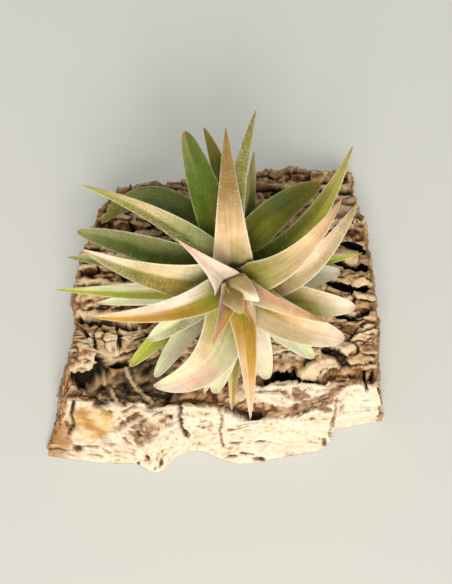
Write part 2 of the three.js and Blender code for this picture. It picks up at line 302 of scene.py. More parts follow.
def soft_light(name, azimuth, elevation, distance, width, watts, tint):
    """A square light that faces the plant, in metres. Azimuth 0 is in front and 90 to the right."""
    turn, rise = math.radians(azimuth), math.radians(elevation)
    away = Vector((math.sin(turn) * math.cos(rise), -math.cos(turn) * math.cos(rise), math.sin(rise)))
    lamp = new_object(name, bpy.data.lights.new(name, "AREA"))
    lamp.data.size = width
    lamp.data.energy = watts
    lamp.data.color = linear(tint)[:3]
    lamp.location = Vector(CAMERA_AIM) * MM + away * distance
    lamp.rotation_euler = away.to_track_quat("Z", "Y").to_euler()


soft_light("key light", azimuth=4, elevation=48, distance=0.75, width=0.36, watts=5.6, tint="#FFF8EC")
soft_light("back light", azimuth=190, elevation=65, distance=1.0, width=0.6, watts=0.6, tint="#F2F6FF")

sky = bpy.data.worlds.new("sky")
sky.use_nodes = True
sky.node_tree.nodes["Background"].inputs["Color"].default_value = linear("#FAF6E8")
sky.node_tree.nodes["Background"].inputs["Strength"].default_value = SKY_STRENGTH
scene.world = sky
scene.view_settings.view_transform = "Standard"

# %% [markdown]
# ## Leaf blades
#
# Each leaf grows from the stem, arches over and runs out to its tip. In section it is a gutter that
# leads rain to the heart. Such a blade could be modelled by hand, but forty leaves share one rule,
# so a Geometry Nodes tree holds it: a cone's rings are moved onto a quadratic curve, spread to the
# leaf's width, folded into the gutter and closed at the tip. The leaves differ only in the inputs.

# %% Name the sizes of a leaf
FOOT = Vector((5.5, 8, 19))
LEAN = math.radians(18)
STEM_OUTLINE = [(3, -5), (3, 0), (4.4, 5), (4.4, 16), (3.5, 26), (2.4, 33), (1.3, 37)]
LEAF_SEATING = 0.9
TIP_SHAPES = {
    "flared": (0.9, 1.15),
    "sharp": (1.15, 0.8),
    "tapered": (1.7, 0.7),
    "blunt": (2.6, 0.5),
}
PLANT_UP = (0, -math.sin(LEAN), math.cos(LEAN))
LEAF_INPUTS = {
    "Root": (0.0, 0.0, 0.0),
    "Arch": (0.0, 0.0, 0.01),
    "Tip": (0.03, 0.0, 0.01),
    "Up": PLANT_UP,
    "Width": 9 * MM,
    "Taper start": 1.15,
    "Taper end": 0.8,
    "Root share": 0.6,
    "Base half thickness": 0.8 * MM,
    "Tip half thickness": 0.3 * MM,
    "Base channel": 0.95,
    "Tip channel": 0.72,
    "Fold": 1.2,
    "Ripple": 0.5 * MM,
    "Seed": 0.0,
}
LEAF_SIDES = 24
LEAF_RINGS = 52
ROOT_END = 0.2
TIP_ROUNDING = 10
WAVE_PULL = (0.8, 5.0, 1.0)
UNIT_CONE = {"Radius Top": 0.0, "Radius Bottom": 1.0}


# %% Build the tree that shapes a leaf
def leaf_tree(skin):
    """A gutter leaf from its inputs, with its places along and across kept as attributes."""
    tree, given = new_tree("Gutter leaf", LEAF_INPUTS)
    put = partial(add, tree)

    # A cone of height 1 gives every point a place along the leaf and an angle round it.
    cone = {"Vertices": LEAF_SIDES, "Side Segments": LEAF_RINGS, "Depth": 1.0, **UNIT_CONE}
    shape = put("GeometryNodeMeshCone", cone, fill_type="NGON")
    place = put("ShaderNodeSeparateXYZ", put("GeometryNodeInputPosition"))
    angle = put(MATH, place.outputs["Y"], place.outputs["X"], operation="ARCTAN2")
    across = put(MATH, angle, operation="COSINE")
    through = put(MATH, angle, operation="SINE")
    quarter = put(MATH, place.outputs["Z"], math.pi / 2, operation="MULTIPLY")
    along = put(MATH, quarter, operation="SINE")

    # The width tapers to the tip, and the root is narrower where it wraps the stem.
    power = put(MATH, along, given["Taper start"], operation="POWER")
    left_over = put(MATH, 1.0, power, operation="SUBTRACT", use_clamp=True)
    taper = put(MATH, left_over, given["Taper end"], operation="POWER")
    limits = {"From Max": ROOT_END, "To Min": given["Root share"], "To Max": 1.0}
    root = put("ShaderNodeMapRange", along, limits, interpolation_type="SMOOTHSTEP")
    half = given["Width"]
    for factor in (0.5, taper, root):
        half = put(MATH, half, factor, operation="MULTIPLY")

    # The blade thins towards the tip, and is rounded off there.
    thicknesses = {2: given["Base half thickness"], 3: given["Tip half thickness"]}
    thick = put("ShaderNodeMix", along, thicknesses, data_type="FLOAT")
    tip_power = put(MATH, along, TIP_ROUNDING, operation="POWER")
    tip_left = put(MATH, 1.0, tip_power, operation="SUBTRACT", use_clamp=True)
    tip_round = put(MATH, tip_left, operation="SQRT")
    thick = put(MATH, thick, tip_round, operation="MULTIPLY")

    # The middle line is a quadratic curve: blends of blends of its three points.
    first = put("ShaderNodeMix", along, {4: given["Root"], 5: given["Arch"]}, data_type="VECTOR").outputs[1]
    last = put("ShaderNodeMix", along, {4: given["Arch"], 5: given["Tip"]}, data_type="VECTOR").outputs[1]
    centre = put("ShaderNodeMix", along, {4: first, 5: last}, data_type="VECTOR").outputs[1]
    heading = put(VECTOR_MATH, last, first, operation="SUBTRACT")
    heading = put(VECTOR_MATH, heading, operation="NORMALIZE")
    side = put(VECTOR_MATH, heading, given["Up"], operation="CROSS_PRODUCT")
    side = put(VECTOR_MATH, side, operation="NORMALIZE")
    normal = put(VECTOR_MATH, side, heading, operation="CROSS_PRODUCT")

    # The gutter lifts the margins, and a slow noise ripples them a little.
    spread = put(MATH, across, operation="ABSOLUTE")
    channels = {2: given["Base channel"], 3: given["Tip channel"]}
    channel = put("ShaderNodeMix", put(MATH, along, operation="SQRT"), channels, data_type="FLOAT")
    for factor in (half, put(MATH, spread, given["Fold"], operation="POWER")):
        channel = put(MATH, channel, factor, operation="MULTIPLY")
    lift = put(MATH, through, thick, channel, operation="MULTIPLY_ADD")
    wave_place = put("ShaderNodeCombineXYZ", across, along, given["Seed"])
    wave_place = put(VECTOR_MATH, wave_place, WAVE_PULL, operation="MULTIPLY")
    wave = put("ShaderNodeTexNoise", {"Vector": wave_place, "Scale": 1.0, "Detail": 1.0})
    wave = put(MATH, wave, 0.5, operation="SUBTRACT")
    for factor in (given["Ripple"], spread, tip_round):
        wave = put(MATH, wave, factor, operation="MULTIPLY")
    lift = put(MATH, lift, wave, operation="ADD")
    offset = put(MATH, across, half, operation="MULTIPLY")
    spot = put(VECTOR_MATH, side, offset, centre, operation="MULTIPLY_ADD")
    spot = put(VECTOR_MATH, normal, lift, spot, operation="MULTIPLY_ADD")

    # The attributes are stored while the cone still has its own shape.
    length = put(VECTOR_MATH, given["Tip"], given["Root"], operation="DISTANCE")
    run = put(MATH, along, length.outputs["Value"], operation="MULTIPLY")
    skin_place = put("ShaderNodeCombineXYZ", offset, run, given["Seed"])
    kept = {"along": along, "across": across, "through": through, "skin_place": skin_place}
    for name, value in kept.items():
        kind = "FLOAT_VECTOR" if name == "skin_place" else "FLOAT"
        stored = {"Geometry": shape, "Name": name, "Value": value}
        shape = put("GeometryNodeStoreNamedAttribute", stored, data_type=kind)
    shape = put("GeometryNodeSetPosition", {"Geometry": shape, "Position": spot})
    for kind in ("FlipFaces", "SetShadeSmooth", "RealizeInstances"):
        shape = put("GeometryNode" + kind, shape)
    shape = put("GeometryNodeSetMaterial", {"Geometry": shape, "Material": skin})
    put("NodeGroupOutput", shape)
    print("leaf tree:", len(tree.nodes), "nodes")
    return tree


def run_tree(name, tree, inputs, start=None):
    """What a tree makes from these inputs, and from a start mesh if it needs one, as a plain object."""
    seed_mesh = start or bpy.data.meshes.new(name)
    maker = new_object(name + "_maker", seed_mesh)
    modifier = maker.modifiers.new(name, "NODES")
    modifier.node_group = tree
    for item in tree.interface.items_tree:
        if item.in_out == "INPUT" and item.name in inputs:
            modifier[item.identifier] = inputs[item.name]
    graph = bpy.context.evaluated_depsgraph_get()
    mesh = bpy.data.meshes.new_from_object(
        maker.evaluated_get(graph), preserve_all_data_layers=True, depsgraph=graph
    )
    maker.modifiers.remove(modifier)
    bpy.data.objects.remove(maker)
    bpy.data.meshes.remove(seed_mesh)
    mesh.name = name
    return new_object(name, mesh)


# %% [markdown]
# ## Leaf skin
#
# The skin of these leaves is matt and soft, because each leaf is covered in silver scales, a
# quarter of a millimetre wide, that drink fog. Under them the tissue is green in the shade and turns
# yellow, peach and red in strong light near flowering. Every leaf has its own run of colours, so
# the colours are painted on the points, and one material reads them and adds what is fine: the
# scales, the streaks along the veins, and the pale margins.

# %% Make the leaf skin
SCALE_SIZE = 0.27 * MM
STREAK_WIDTH = 0.5 * MM
STREAK_LENGTH = 9 * MM
MOTTLE_SIZE = 2.6 * MM
CREASE_SHADE_WIDTH = 0.2
MARGIN = {"From Min": 0.88, "From Max": 0.98}
DOTS_PER_FROST, DOTS_ON_MARGIN, DOTS_SPARED = 2.3, 0.6, 0.57
BLOOM_PER_FROST, BLOOM_ON_MARGIN = 0.08, 0.62
DOT_STRENGTH_PER_FROST, LEAST_DOT_STRENGTH = 1.0, 0.09


def leaf_skin():
    """Leaf tissue under silver scales, from the attributes tint, frost, fringe, across and skin_place.

    To the eye it is matt and soft, with a faint sheen from the scales, and a little light gets
    through it.
    """
    finish = {"Roughness": 0.62, "Specular IOR Level": 0.22, "Sheen Weight": 0.1, "Sheen Roughness": 0.5}
    inside = {"Subsurface Weight": 0.2, "Subsurface Radius": (1.3, 1.0, 0.3), "Subsurface Scale": 1 * MM}
    skin, tree, surface = new_material("silver-scaled leaf skin", {**finish, **inside})
    put = partial(add, tree)
    tint = put("ShaderNodeAttribute", attribute_name="tint").outputs["Color"]
    place = put("ShaderNodeAttribute", attribute_name="skin_place").outputs["Vector"]
    readers = [put("ShaderNodeAttribute", attribute_name=name) for name in ("frost", "fringe", "across")]
    frost, fringe, across = [reader.outputs["Fac"] for reader in readers]

    # Streaks follow the veins, the tissue is a little mottled, and the middle crease has painted shade.
    pull = (1 / STREAK_WIDTH, 1 / STREAK_LENGTH, 1.0)
    streak_place = put(VECTOR_MATH, place, pull, operation="MULTIPLY")
    streak = put("ShaderNodeTexNoise", {"Vector": streak_place, "Scale": 1.0, "Detail": 3.0})
    mottle = put("ShaderNodeTexNoise", {"Vector": place, "Scale": 1 / MOTTLE_SIZE, "Detail": 4.0})
    spread = put(MATH, across, operation="ABSOLUTE")
    tissue = tint
    for shade in (
        {"Value": streak, "From Min": 0.3, "From Max": 0.7, "To Min": 0.88, "To Max": 1.12},
        {"Value": mottle, "From Min": 0.3, "From Max": 0.7, "To Min": 0.9, "To Max": 1.1},
        {"Value": spread, "From Max": CREASE_SHADE_WIDTH, "To Min": 0.84, "To Max": 1.0},
    ):
        tissue = put(VECTOR_MATH, tissue, {"Scale": put("ShaderNodeMapRange", shade)}, operation="SCALE")

    # Each scale is a small round dot. How many of the dots show depends on the frost.
    margin = put("ShaderNodeMapRange", spread, {**MARGIN, "To Max": fringe})
    dots = put("ShaderNodeTexVoronoi", {"Vector": place, "Scale": 1 / SCALE_SIZE})
    dot_choice = put("ShaderNodeSeparateColor", dots.outputs["Color"])
    crowd = put(MATH, mottle, DOTS_SPARED, operation="SUBTRACT")
    crowd = put(MATH, frost, DOTS_PER_FROST, crowd, operation="MULTIPLY_ADD")
    crowd = put(MATH, margin, DOTS_ON_MARGIN, crowd, operation="MULTIPLY_ADD")
    shown = put(MATH, dot_choice, crowd, operation="LESS_THAN")
    round_dot = put("ShaderNodeMapRange", dots.outputs["Distance"], {"From Min": 0.55, "From Max": 0.35})
    scales = put(MATH, shown, round_dot, operation="MULTIPLY")

    # A bloom of scales too fine to tell apart lightens the tissue everywhere, and most at the margins.
    bloom = put(MATH, frost, BLOOM_PER_FROST, operation="MULTIPLY")
    bloom = put(MATH, margin, BLOOM_ON_MARGIN, bloom, operation="MULTIPLY_ADD")
    strength = put(MATH, frost, DOT_STRENGTH_PER_FROST, LEAST_DOT_STRENGTH, operation="MULTIPLY_ADD")
    colour = tissue
    for cover in (bloom, put(MATH, scales, strength, operation="MULTIPLY")):
        silvered = {6: colour, 7: linear("#F6F1E2")}
        colour = put("ShaderNodeMix", cover, silvered, data_type="RGBA").outputs[2]
    tree.links.new(colour, surface.inputs["Base Color"])

    relief = put(MATH, scales, 0.6, streak, operation="MULTIPLY_ADD")
    bump = put("ShaderNodeBump", {"Height": relief, "Strength": 0.35, "Distance": 0.15 * MM})
    tree.links.new(bump.outputs[0], surface.inputs["Normal"])
    return skin


# %% [markdown]
# ## Every leaf's place and colours
#
# A leaf's shape is its azimuth, its reach and the height of its tip, then where it leaves the stem,
# how far it lifts and turns there, how far out it arches, and its width and kind of tip. Its colours
# run from root to tip, first on its left side and then on its right, seen from the stem. The last
# number says how thickly the silver scales cover it. They could be drawn at random, but each of these
# leaves is seen in the photograph, so each has a row of its own.

# %% Name the leaf colours
PALETTE = {
    "milk": "#F8E7D8",
    "cream": "#EDD8B4",
    "hay": "#CDBA88",
    "peach": "#E9C89E",
    "rose": "#EFCBB6",
    "blush": "#CE9C7C",
    "tan": "#B99A68",
    "khaki": "#A99C66",
    "ochre": "#957A42",
    "brown": "#785F35",
    "rust": "#96553A",
    "amber": "#D0A146",
    "gold": "#AC9026",
    "lime": "#B2B840",
    "olive": "#86822C",
    "moss": "#566210",
    "leaf": "#5C7414",
    "pine": "#36461A",
    "grey": "#5E6C34",
    "sage": "#949A5E",
    "mint": "#D6DAB0",
    "mauve": "#B08A78",
}

# %% List the leaves, from the youngest to the oldest
# A leaf's two sides differ partly in their own colours and partly by painted light and shade: the half of the
# fold that faces the light is painted lighter.
HEART_LEAVES = [
    (145, 17, 56, 36, 14, 0, 0.2, 9.2, "flared", "milk milk rose peach", "milk milk rose blush", 0.05),
    (320, 8.3, 43, 35.5, 12, 0, 0.35, 6.6, "tapered", "olive hay tan milk", "hay hay cream milk", 0.08),
    (284.4, 8.8, 44.5, 35, 9, 0, 0.35, 7.2, "tapered", "olive olive ochre tan", "olive gold khaki tan", 0.1),
    (296, 8.6, 43.5, 34, 7, 0, 0.4, 3.5, "sharp", "gold gold amber amber", "amber gold gold gold", 0.05),
    (294.7, 12.2, 46, 33.5, 9, 4, 0.4, 7, "sharp", "olive tan rose tan", "olive gold amber rust", 0.08),
]
INNER_LEAVES = [
    (252, 16.5, 47, 32, 11, 8, 0.42, 6.5, "sharp", "lime amber amber blush", "milk mauve mauve blush", 0.08),
    (335.7, 25.5, 44, 30.5, 12, -12, 0.42, 6, "sharp", "tan blush blush rust", "cream cream peach tan", 0.1),
    (37, 33.2, 43, 29.5, 11, -32, 0.48, 9.5, "sharp", "olive khaki peach mauve", "lime hay peach tan", 0.1),
    (194.4, 36.9, 38, 28.5, 11, 22, 0.45, 9, "sharp", "lime gold amber amber", "sage milk rose peach", 0.06),
    (276.8, 35, 38, 28, 11, 9, 0.42, 8.5, "sharp", "lime gold amber rose", "lime amber peach rose", 0.1),
    (93, 37.6, 40, 27, 13, -1, 0.42, 11, "sharp", "cream peach ochre ochre", "khaki peach ochre ochre", 0.15),
    (332, 31.6, 33, 25.5, 9, -20, 0.5, 10.5, "blunt", "olive gold peach rose", "lime cream hay milk", 0.22),
]
UPPER_LEAVES = [
    (168.5, 39.1, 34, 24, 10, 19, 0.45, 11.4, "sharp", "lime gold olive hay", "sage cream hay milk", 0.25),
    (32, 36.6, 36, 23.5, 10, -46, 0.5, 8, "tapered", "lime hay rose ochre", "lime hay hay khaki", 0.3),
    (232.8, 33.8, 28, 23, 9, 33, 0.77, 13, "tapered", "lime mint rose milk", "lime hay cream mint", 0.2),
    (82.4, 43, 36, 21.5, 12, 12, 0.45, 8, "sharp", "sage khaki olive moss", "sage khaki olive olive", 0.25),
    (148, 44.9, 34, 20.5, 10, -20, 0.42, 8.5, "sharp", "olive moss olive lime", "sage sage hay olive", 0.24),
    (347.4, 32, 26, 20, 8, -11, 0.45, 9, "blunt", "moss lime hay milk", "moss lime lime milk", 0.27),
    (48.4, 45, 35, 19.5, 10, -25, 0.48, 10.2, "sharp", "moss leaf olive khaki", "moss lime lime khaki", 0.1),
]
MIDDLE_LEAVES = [
    (215, 27, 19, 18.5, 6, 4, 0.42, 7, "blunt", "lime milk sage mint", "leaf milk mint mint", 0.3),
    (183, 46, 24, 17.5, 8, 8, 0.42, 8, "sharp", "lime lime lime lime", "leaf milk mint lime", 0.14),
    (108.2, 40.3, 24, 17, 9, -1, 0.45, 9.5, "blunt", "leaf leaf leaf sage", "pine olive leaf grey", 0.07),
    (289, 27.5, 15, 16, 4, 6, 0.45, 8.5, "blunt", "mint mint milk mint", "sage mint milk mint", 0.25),
    (260.4, 30.1, 16, 15, 5, 8, 0.45, 8.5, "blunt", "olive mint milk mint", "olive mint mint mint", 0.3),
    (162.6, 42.5, 21, 14.5, 8, -6, 0.42, 8, "blunt", "leaf leaf leaf sage", "leaf sage sage sage", 0.14),
    (255.5, 30.8, 17, 14, 5, 8, 0.45, 7, "tapered", "lime lime mint mint", "lime mint mint mint", 0.25),
    (231, 32.8, 14.5, 13.5, 5, -7, 0.45, 6.5, "blunt", "mint mint milk mint", "lime sage mint mint", 0.3),
    (316.4, 29.7, 13, 13, 5, -6, 0.42, 7.5, "blunt", "sage mint sage mint", "leaf sage mint mint", 0.3),
    (101, 40.8, 18, 12, 8, -10, 0.6, 7, "tapered", "olive olive olive olive", "pine pine leaf ochre", 0.05),
    (172, 44.2, 15, 10.5, 6, -4, 0.42, 7, "tapered", "pine leaf leaf sage", "pine pine sage sage", 0.15),
    (269.3, 34.4, 14.5, 10, 6, 3, 0.42, 5.5, "tapered", "moss leaf olive tan", "moss leaf lime peach", 0.12),
]
OUTER_LEAVES = [
    (48, 34.8, 9, 11, 6, 24, 0.5, 9.5, "blunt", "pine olive grey olive", "leaf lime olive olive", 0.05),
    (4.8, 28.7, 9, 10.5, 5, -4, 0.42, 8, "blunt", "sage mint mint milk", "sage mint mint milk", 0.3),
    (156.6, 39.4, 0, 9, 9, -37, 0.95, 9.5, "tapered", "pine pine grey olive", "pine grey grey olive", 0.08),
    (189.4, 37, 11, 8.5, 5, 4, 0.42, 7, "tapered", "sage mint mint mint", "sage mint mint mint", 0.35),
    (80.7, 35.5, 5, 8, 6, -6, 0.42, 5, "tapered", "pine pine khaki olive", "pine pine moss hay", 0.06),
    (30.3, 32.9, 6, 6.5, 5, -5, 0.42, 7, "tapered", "pine grey sage mint", "pine grey sage tan", 0.25),
    (219.7, 35.8, 11, 7, 5, -8, 0.42, 6.4, "blunt", "leaf leaf lime lime", "leaf lime lime lime", 0.12),
    (12.2, 36, 5, 5, 4, -3, 0.42, 5, "sharp", "moss lime lime lime", "moss lime lime lime", 0.05),
]
DRY = ("brown brown ochre tan", "brown brown brown ochre", 0.05)
DRY_LEAVES = [
    (300, 17, 8, 6, 3, 0, 0.42, 5, "tapered", *DRY),
    (122, 19, 0, 4, 3, 0, 0.42, 5.5, "tapered", *DRY),
    (247, 16, 7, 4.5, 2.5, 0, 0.42, 5, "tapered", *DRY),
    (65, 17, 0, 3.5, 3, 0, 0.42, 5, "tapered", *DRY),
    (338, 18, 4.5, 3.5, 2.5, 0, 0.42, 5, "tapered", *DRY),
    (190, 18, 3, 3, 3, 0, 0.42, 5, "tapered", *DRY),
]
TIERS = {
    "heart": HEART_LEAVES,
    "inner": INNER_LEAVES,
    "upper": UPPER_LEAVES,
    "middle": MIDDLE_LEAVES,
    "outer": OUTER_LEAVES,
    "dry": DRY_LEAVES,
}
print("leaves:", {tier: len(leaves) for tier, leaves in TIERS.items()})

# %% List what is special about the heart
# The youngest leaves are rolled up and grow out of one another, not out of the stem's side. These
# inputs replace theirs. The two places are in millimetres from the foot of the stem.
HEART_INPUTS = ("Root", "Arch", "Root share", "Base channel", "Tip channel")
HEART_FORMS = {
    "heart_leaf_1": ((-2.9, 0.5, 34), (-4.9, 2.9, 50), 0.95, 0.5, 0.72),
    "heart_leaf_2": ((-1.4, 0.9, 29), (1.8, -1.8, 47), 0.6, -0.5, -0.2),
    "heart_leaf_3": ((-2.2, -1.8, 29), (-0.4, -3.4, 47), 0.6, -0.4, 0.1),
    "inner_leaf_6": ((-0.1, 4.6, 30), (-0.9, 12, 42), 0.95, 0.35, 0.72),
}

# %% Turn a leaf's numbers into places
STEM_FRAME = Matrix.Translation(FOOT * MM) @ Matrix.Rotation(LEAN, 4, "X")


def leaned(x, y, z):
    """A point given in millimetres from the stem's foot, up the leaning stem, in the part's frame."""
    return STEM_FRAME @ (Vector((x, y, z)) * MM)


def plant_place(radius, azimuth, height):
    """A point given round the leaning stem, in the part's frame."""
    turn = math.radians(azimuth)
    return leaned(radius * math.cos(turn), radius * math.sin(turn), height)


def stem_radius(height):
    """The stem's radius in millimetres at a height above its foot."""
    radii, heights = zip(*STEM_OUTLINE)
    return float(np.interp(height, heights, radii))


# %% Paint a leaf
COLOUR_STOPS = (0.12, 0.36, 0.66, 0.98)
MID_BLEND = 0.08
CREASE_WANDER = 0.5
GUTTER_SHADE_SHARE, GUTTER_SHADE_FADE = 0.3, (0.1, 0.7)
ROOT_SHADE, ROOT_SHADE_END = 0.7, 0.07
TIP_RUST, TIP_RUST_START = 0.4, 0.93
FRINGE_IN_SHADE, FRINGE_TINTS = 0.2, (0.3, 0.55)
FROST_MIDDLE, FROST_GAIN = 0.7, 0.5


def paint_leaf(mesh, number, left, right, frost):
    """Writes tint, frost and fringe from the colour names of the leaf's two sides and its frost."""
    along, across = read_attribute(mesh, "along"), read_attribute(mesh, "across")
    charts = [[PALETTE[name] for name in names.split()] for names in (left, right)]
    left_tint, right_tint = [colour_run(along, COLOUR_STOPS, chart) for chart in charts]
    crease = CREASE_WANDER * (field(along * 2.5, np.full(len(along), number + 0.5), 31) - 0.5)
    toward_right = ease(across - crease, -MID_BLEND, MID_BLEND)[:, None]
    tint = left_tint * (1 - toward_right) + right_tint * toward_right
    # Painted shade: the gutter's middle near the root goes toward olive, partly greener tissue and partly
    # shade, and the root end is painted dark where it sits deep in the rosette.
    gutter = (GUTTER_SHADE_SHARE * (1 - np.abs(across)) * (1 - ease(along, *GUTTER_SHADE_FADE)))[:, None]
    tint = tint * (1 - gutter) + np.array(linear(PALETTE["olive"])) * gutter
    shade = (1 - ROOT_SHADE * (1 - ease(along, 0.0, ROOT_SHADE_END)))[:, None]
    rust = (TIP_RUST * ease(along, TIP_RUST_START, 1.0))[:, None]
    tint = tint * shade * (1 - rust) + np.array(linear(PALETTE["rust"])) * rust
    brightness = ease(tint.mean(axis=1), *FRINGE_TINTS)
    write_attribute(mesh, "tint", tint)
    write_attribute(mesh, "frost", frost * (FROST_MIDDLE + FROST_GAIN * np.abs(across)))
    write_attribute(mesh, "fringe", FRINGE_IN_SHADE + (1 - FRINGE_IN_SHADE) * brightness)


# %% Grow the leaves
skin = leaf_skin()
gutter_leaf = leaf_tree(skin)
leaf_pieces = {}
for tier, leaves in TIERS.items():
    for count, (*form, tip, left, right, frost) in enumerate(leaves, 1):
        node, number = f"{tier}_leaf_{count}", len(leaf_pieces)
        azimuth, reach, tip_height, node_height, lift, turn, arch_place, width = form
        taper_start, taper_end = TIP_SHAPES[tip]
        seat = stem_radius(node_height) * LEAF_SEATING
        inputs = {
            "Root": plant_place(seat, azimuth + turn, node_height),
            "Arch": plant_place(reach * arch_place, azimuth + turn, node_height + lift),
            "Tip": plant_place(reach, azimuth, tip_height),
            "Width": width * MM,
            "Taper start": float(taper_start),
            "Taper end": float(taper_end),
            "Seed": float(number),
        }
        for name, value in zip(HEART_INPUTS, HEART_FORMS.get(node, ())):
            inputs[name] = leaned(*value) if isinstance(value, tuple) else value
        piece = run_tree(node + "_blade", gutter_leaf, inputs)
        paint_leaf(piece.data, number, left, right, frost)
        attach(piece, "root")
        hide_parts(node)
        leaf_pieces[node] = piece
print(len(leaf_pieces), "leaves,", sum(len(p.data.polygons) for p in leaf_pieces.values()), "faces")

# %% [markdown]
# ## Silver scales
#
# Seen close, the leaf margins look fuzzy, because there the silver scales stand up and catch the
# light. Dots in the skin can't show that against a dark background, so these scales are real: flat
# little cones, scattered by nodes where the leaf's density attribute asks for them, each turned to
# the leaf's surface and then tipped at random. Leaves in the shade have fewer on their margins.

# %% Make one kind of scale and scatter it
SCALE_INPUTS = {"Leaves": None, "Radius": 0.12 * MM, "Seed": 7}
SCALE_SIZES = (0.6, 1.25)
SCALE_TIPPING = ((-0.7, -0.7, 0.0), (0.7, 0.7, 6.3))


def scale_finish():
    """Dry, silvery scales: pale and soft to the eye, because light gets through them."""
    finish = {"Roughness": 0.5, "Sheen Weight": 0.3, "Subsurface Weight": 0.3}
    inside = {"Subsurface Radius": (1.0, 0.9, 0.7), "Subsurface Scale": 0.3 * MM}
    silver, tree, surface = new_material("silver leaf scales", {**finish, **inside})
    place = add(tree, "ShaderNodeTexCoord").outputs["Object"]
    patches = add(tree, "ShaderNodeTexNoise", {"Vector": place, "Scale": 1 / MOTTLE_SIZE, "Detail": 2.0})
    shades = {6: linear("#E9DDBE"), 7: linear("#FBF8EC")}
    colour = add(tree, "ShaderNodeMix", patches, shades, data_type="RGBA").outputs[2]
    tree.links.new(colour, surface.inputs["Base Color"])
    return silver


def scale_tree(finish):
    """Small flat cones on the start mesh, as thick as its attribute scale_density says."""
    tree, given = new_tree("Silver scales", SCALE_INPUTS)
    put = partial(add, tree)
    seed = {"Seed": given["Seed"]}
    density = put("GeometryNodeInputNamedAttribute", {"Name": "scale_density"})
    spread = put("GeometryNodeDistributePointsOnFaces", given["Leaves"], {"Density": density, **seed})
    cone = put("GeometryNodeMeshCone", {"Vertices": 4, "Depth": 0.5, **UNIT_CONE}, fill_type="NGON")
    tipping = put("FunctionNodeRandomValue", *SCALE_TIPPING, seed, data_type="FLOAT_VECTOR")
    turning = {"Rotation": spread.outputs["Rotation"], "Rotate By": tipping}
    turned = put("FunctionNodeRotateRotation", turning, rotation_space="LOCAL")
    size = put("FunctionNodeRandomValue", dict(zip((2, 3), SCALE_SIZES)), seed, data_type="FLOAT")
    size = put(MATH, size.outputs[1], given["Radius"], operation="MULTIPLY")
    placed = {"Points": spread, "Instance": cone, "Rotation": turned, "Scale": size}
    scales = put("GeometryNodeRealizeInstances", put("GeometryNodeInstanceOnPoints", placed))
    scales = put("GeometryNodeSetMaterial", {"Geometry": scales, "Material": finish})
    put("NodeGroupOutput", scales)
    return tree


# %% Scatter scales on the leaves, tier by tier
# Both are numbers of scales on a square metre.
SCALES_ON_FACE = 2.4e7
SCALES_ON_MARGIN = 2.6e7


def joined(pieces):
    """One mesh from copies of these leaves' meshes, with how thickly scales stand on each point."""
    points, faces, density, start = [], [], [], 0
    for piece in pieces:
        mesh = piece.data
        points.append(vertex_rows(mesh))
        faces += [[start + k for k in face.vertices] for face in mesh.polygons]
        start += len(mesh.vertices)
        across, through = np.abs(read_attribute(mesh, "across")), read_attribute(mesh, "through")
        frost, fringe = read_attribute(mesh, "frost"), read_attribute(mesh, "fringe")
        on_margin = SCALES_ON_MARGIN * fringe * ease(across, 0.95, 1.0)
        density.append(SCALES_ON_FACE * frost**2 * ease(through, -0.2, 0.2) + on_margin)
    mesh = bpy.data.meshes.new("leaves_joined")
    mesh.from_pydata(np.vstack(points).tolist(), [], faces)
    write_attribute(mesh, "scale_density", np.concatenate(density))
    return mesh


silver_scales = scale_tree(scale_finish())
for tiers in (("inner", "heart"), ("upper",), ("middle", "outer")):
    pieces = [piece for node, piece in leaf_pieces.items() if node.startswith(tiers)]
    scales = run_tree(tiers[0] + "_scales", silver_scales, {}, joined(pieces))
    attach(scales, "root")
    print(scales.name, len(scales.data.polygons), "faces")

# %% [markdown]
# ## The slab of cork
#
# Virgin cork is the first bark of the cork oak. Its outside is blocks of tan and brown bark, parted
# by deep black fissures that run along the trunk, and its broken faces are cream, layered and full
# of small brown pores. The slab could be sculpted, but noise functions give the same kind of relief
# at every scale. The large forms repeat the solid's, so that the fine surface lies on it.

# %% The slab's outline and large forms, as in the solid
BARK_RIM = {
    "front": [(-39, -24), (-25, -24.5), (3, -26.5), (20, -27.5), (31.5, -24), (37, -20.5), (44.2, -21)],
    "back": [(-27, 38.5), (-15, 40), (-5, 40.3), (11, 43.4), (25, 45), (38.8, 44.6)],
    "left": [(-39, -24), (-37.5, -12), (-36.5, -4), (-37, 8), (-34.5, 20), (-30.5, 32), (-27, 38.5)],
    "right": [(44.2, -21), (43.2, -11), (43.8, -6), (43, 4), (43.4, 12), (42.5, 22), (38.8, 44.6)],
}
BARK_BASE = {
    "front": [
        (-45.7, -36.7), (-31, -38.7), (-21.6, -39), (-17.4, -41), (-13.8, -41), (-11, -37), (-4, -35.4),
        (3, -38), (9.5, -39), (20, -37), (30.6, -34.8), (31.6, -30.3), (37, -28.7), (46, -27),
    ],
    "back": [(-27.6, 39.3), (-15, 40.8), (-5, 41.2), (11, 44.3), (25, 46), (39.4, 45.4)],
    "left": [(-45.7, -36.7), (-42, -22), (-39, -8), (-38.4, 8), (-35.6, 20), (-31.3, 32), (-27.6, 39.3)],
    "right": [(46, -27), (45.2, -12), (45, 0), (44.4, 12), (43.3, 23), (39.4, 45.4)],
}
# A form is its middle, its two half widths and its rise, in millimetres. A hollow's rise is negative.
BARK_FORMS = [
    (-18.5, -20, 10, 7, -5), (-28.5, -7, 4.5, 3.2, 2.5), (-33.5, -13, 4, 4, 2.5), (-29, -2.8, 8, 1.6, -4),
    (-32, -19.6, 5, 2.2, -5), (-25, -12.7, 3.5, 2, -4), (25, 36.2, 15, 1.4, -3), (36.5, 30, 4, 1.5, -3),
    (40.5, 18, 4, 1.5, -3.5), (38.5, 12.4, 5.5, 2, -5), (40, 5.7, 5, 1.4, -3), (20, -12, 10, 3, 2),
    (18.5, -18, 9, 1.8, -4), (9.5, -27, 5, 1.6, -1.5),
]
BARK_CROWN, BARK_CROWN_Y, BARK_FALL, BARK_FALL_REACH = 20.5, 2, 8, 35
ROLL_HEIGHT, GROOVE_DEPTH, GROOVE_BREADTH = 1.6, 3.2, 0.11
SEAT_HEIGHT, SEAT_RADIUS = 18.2, 6.5


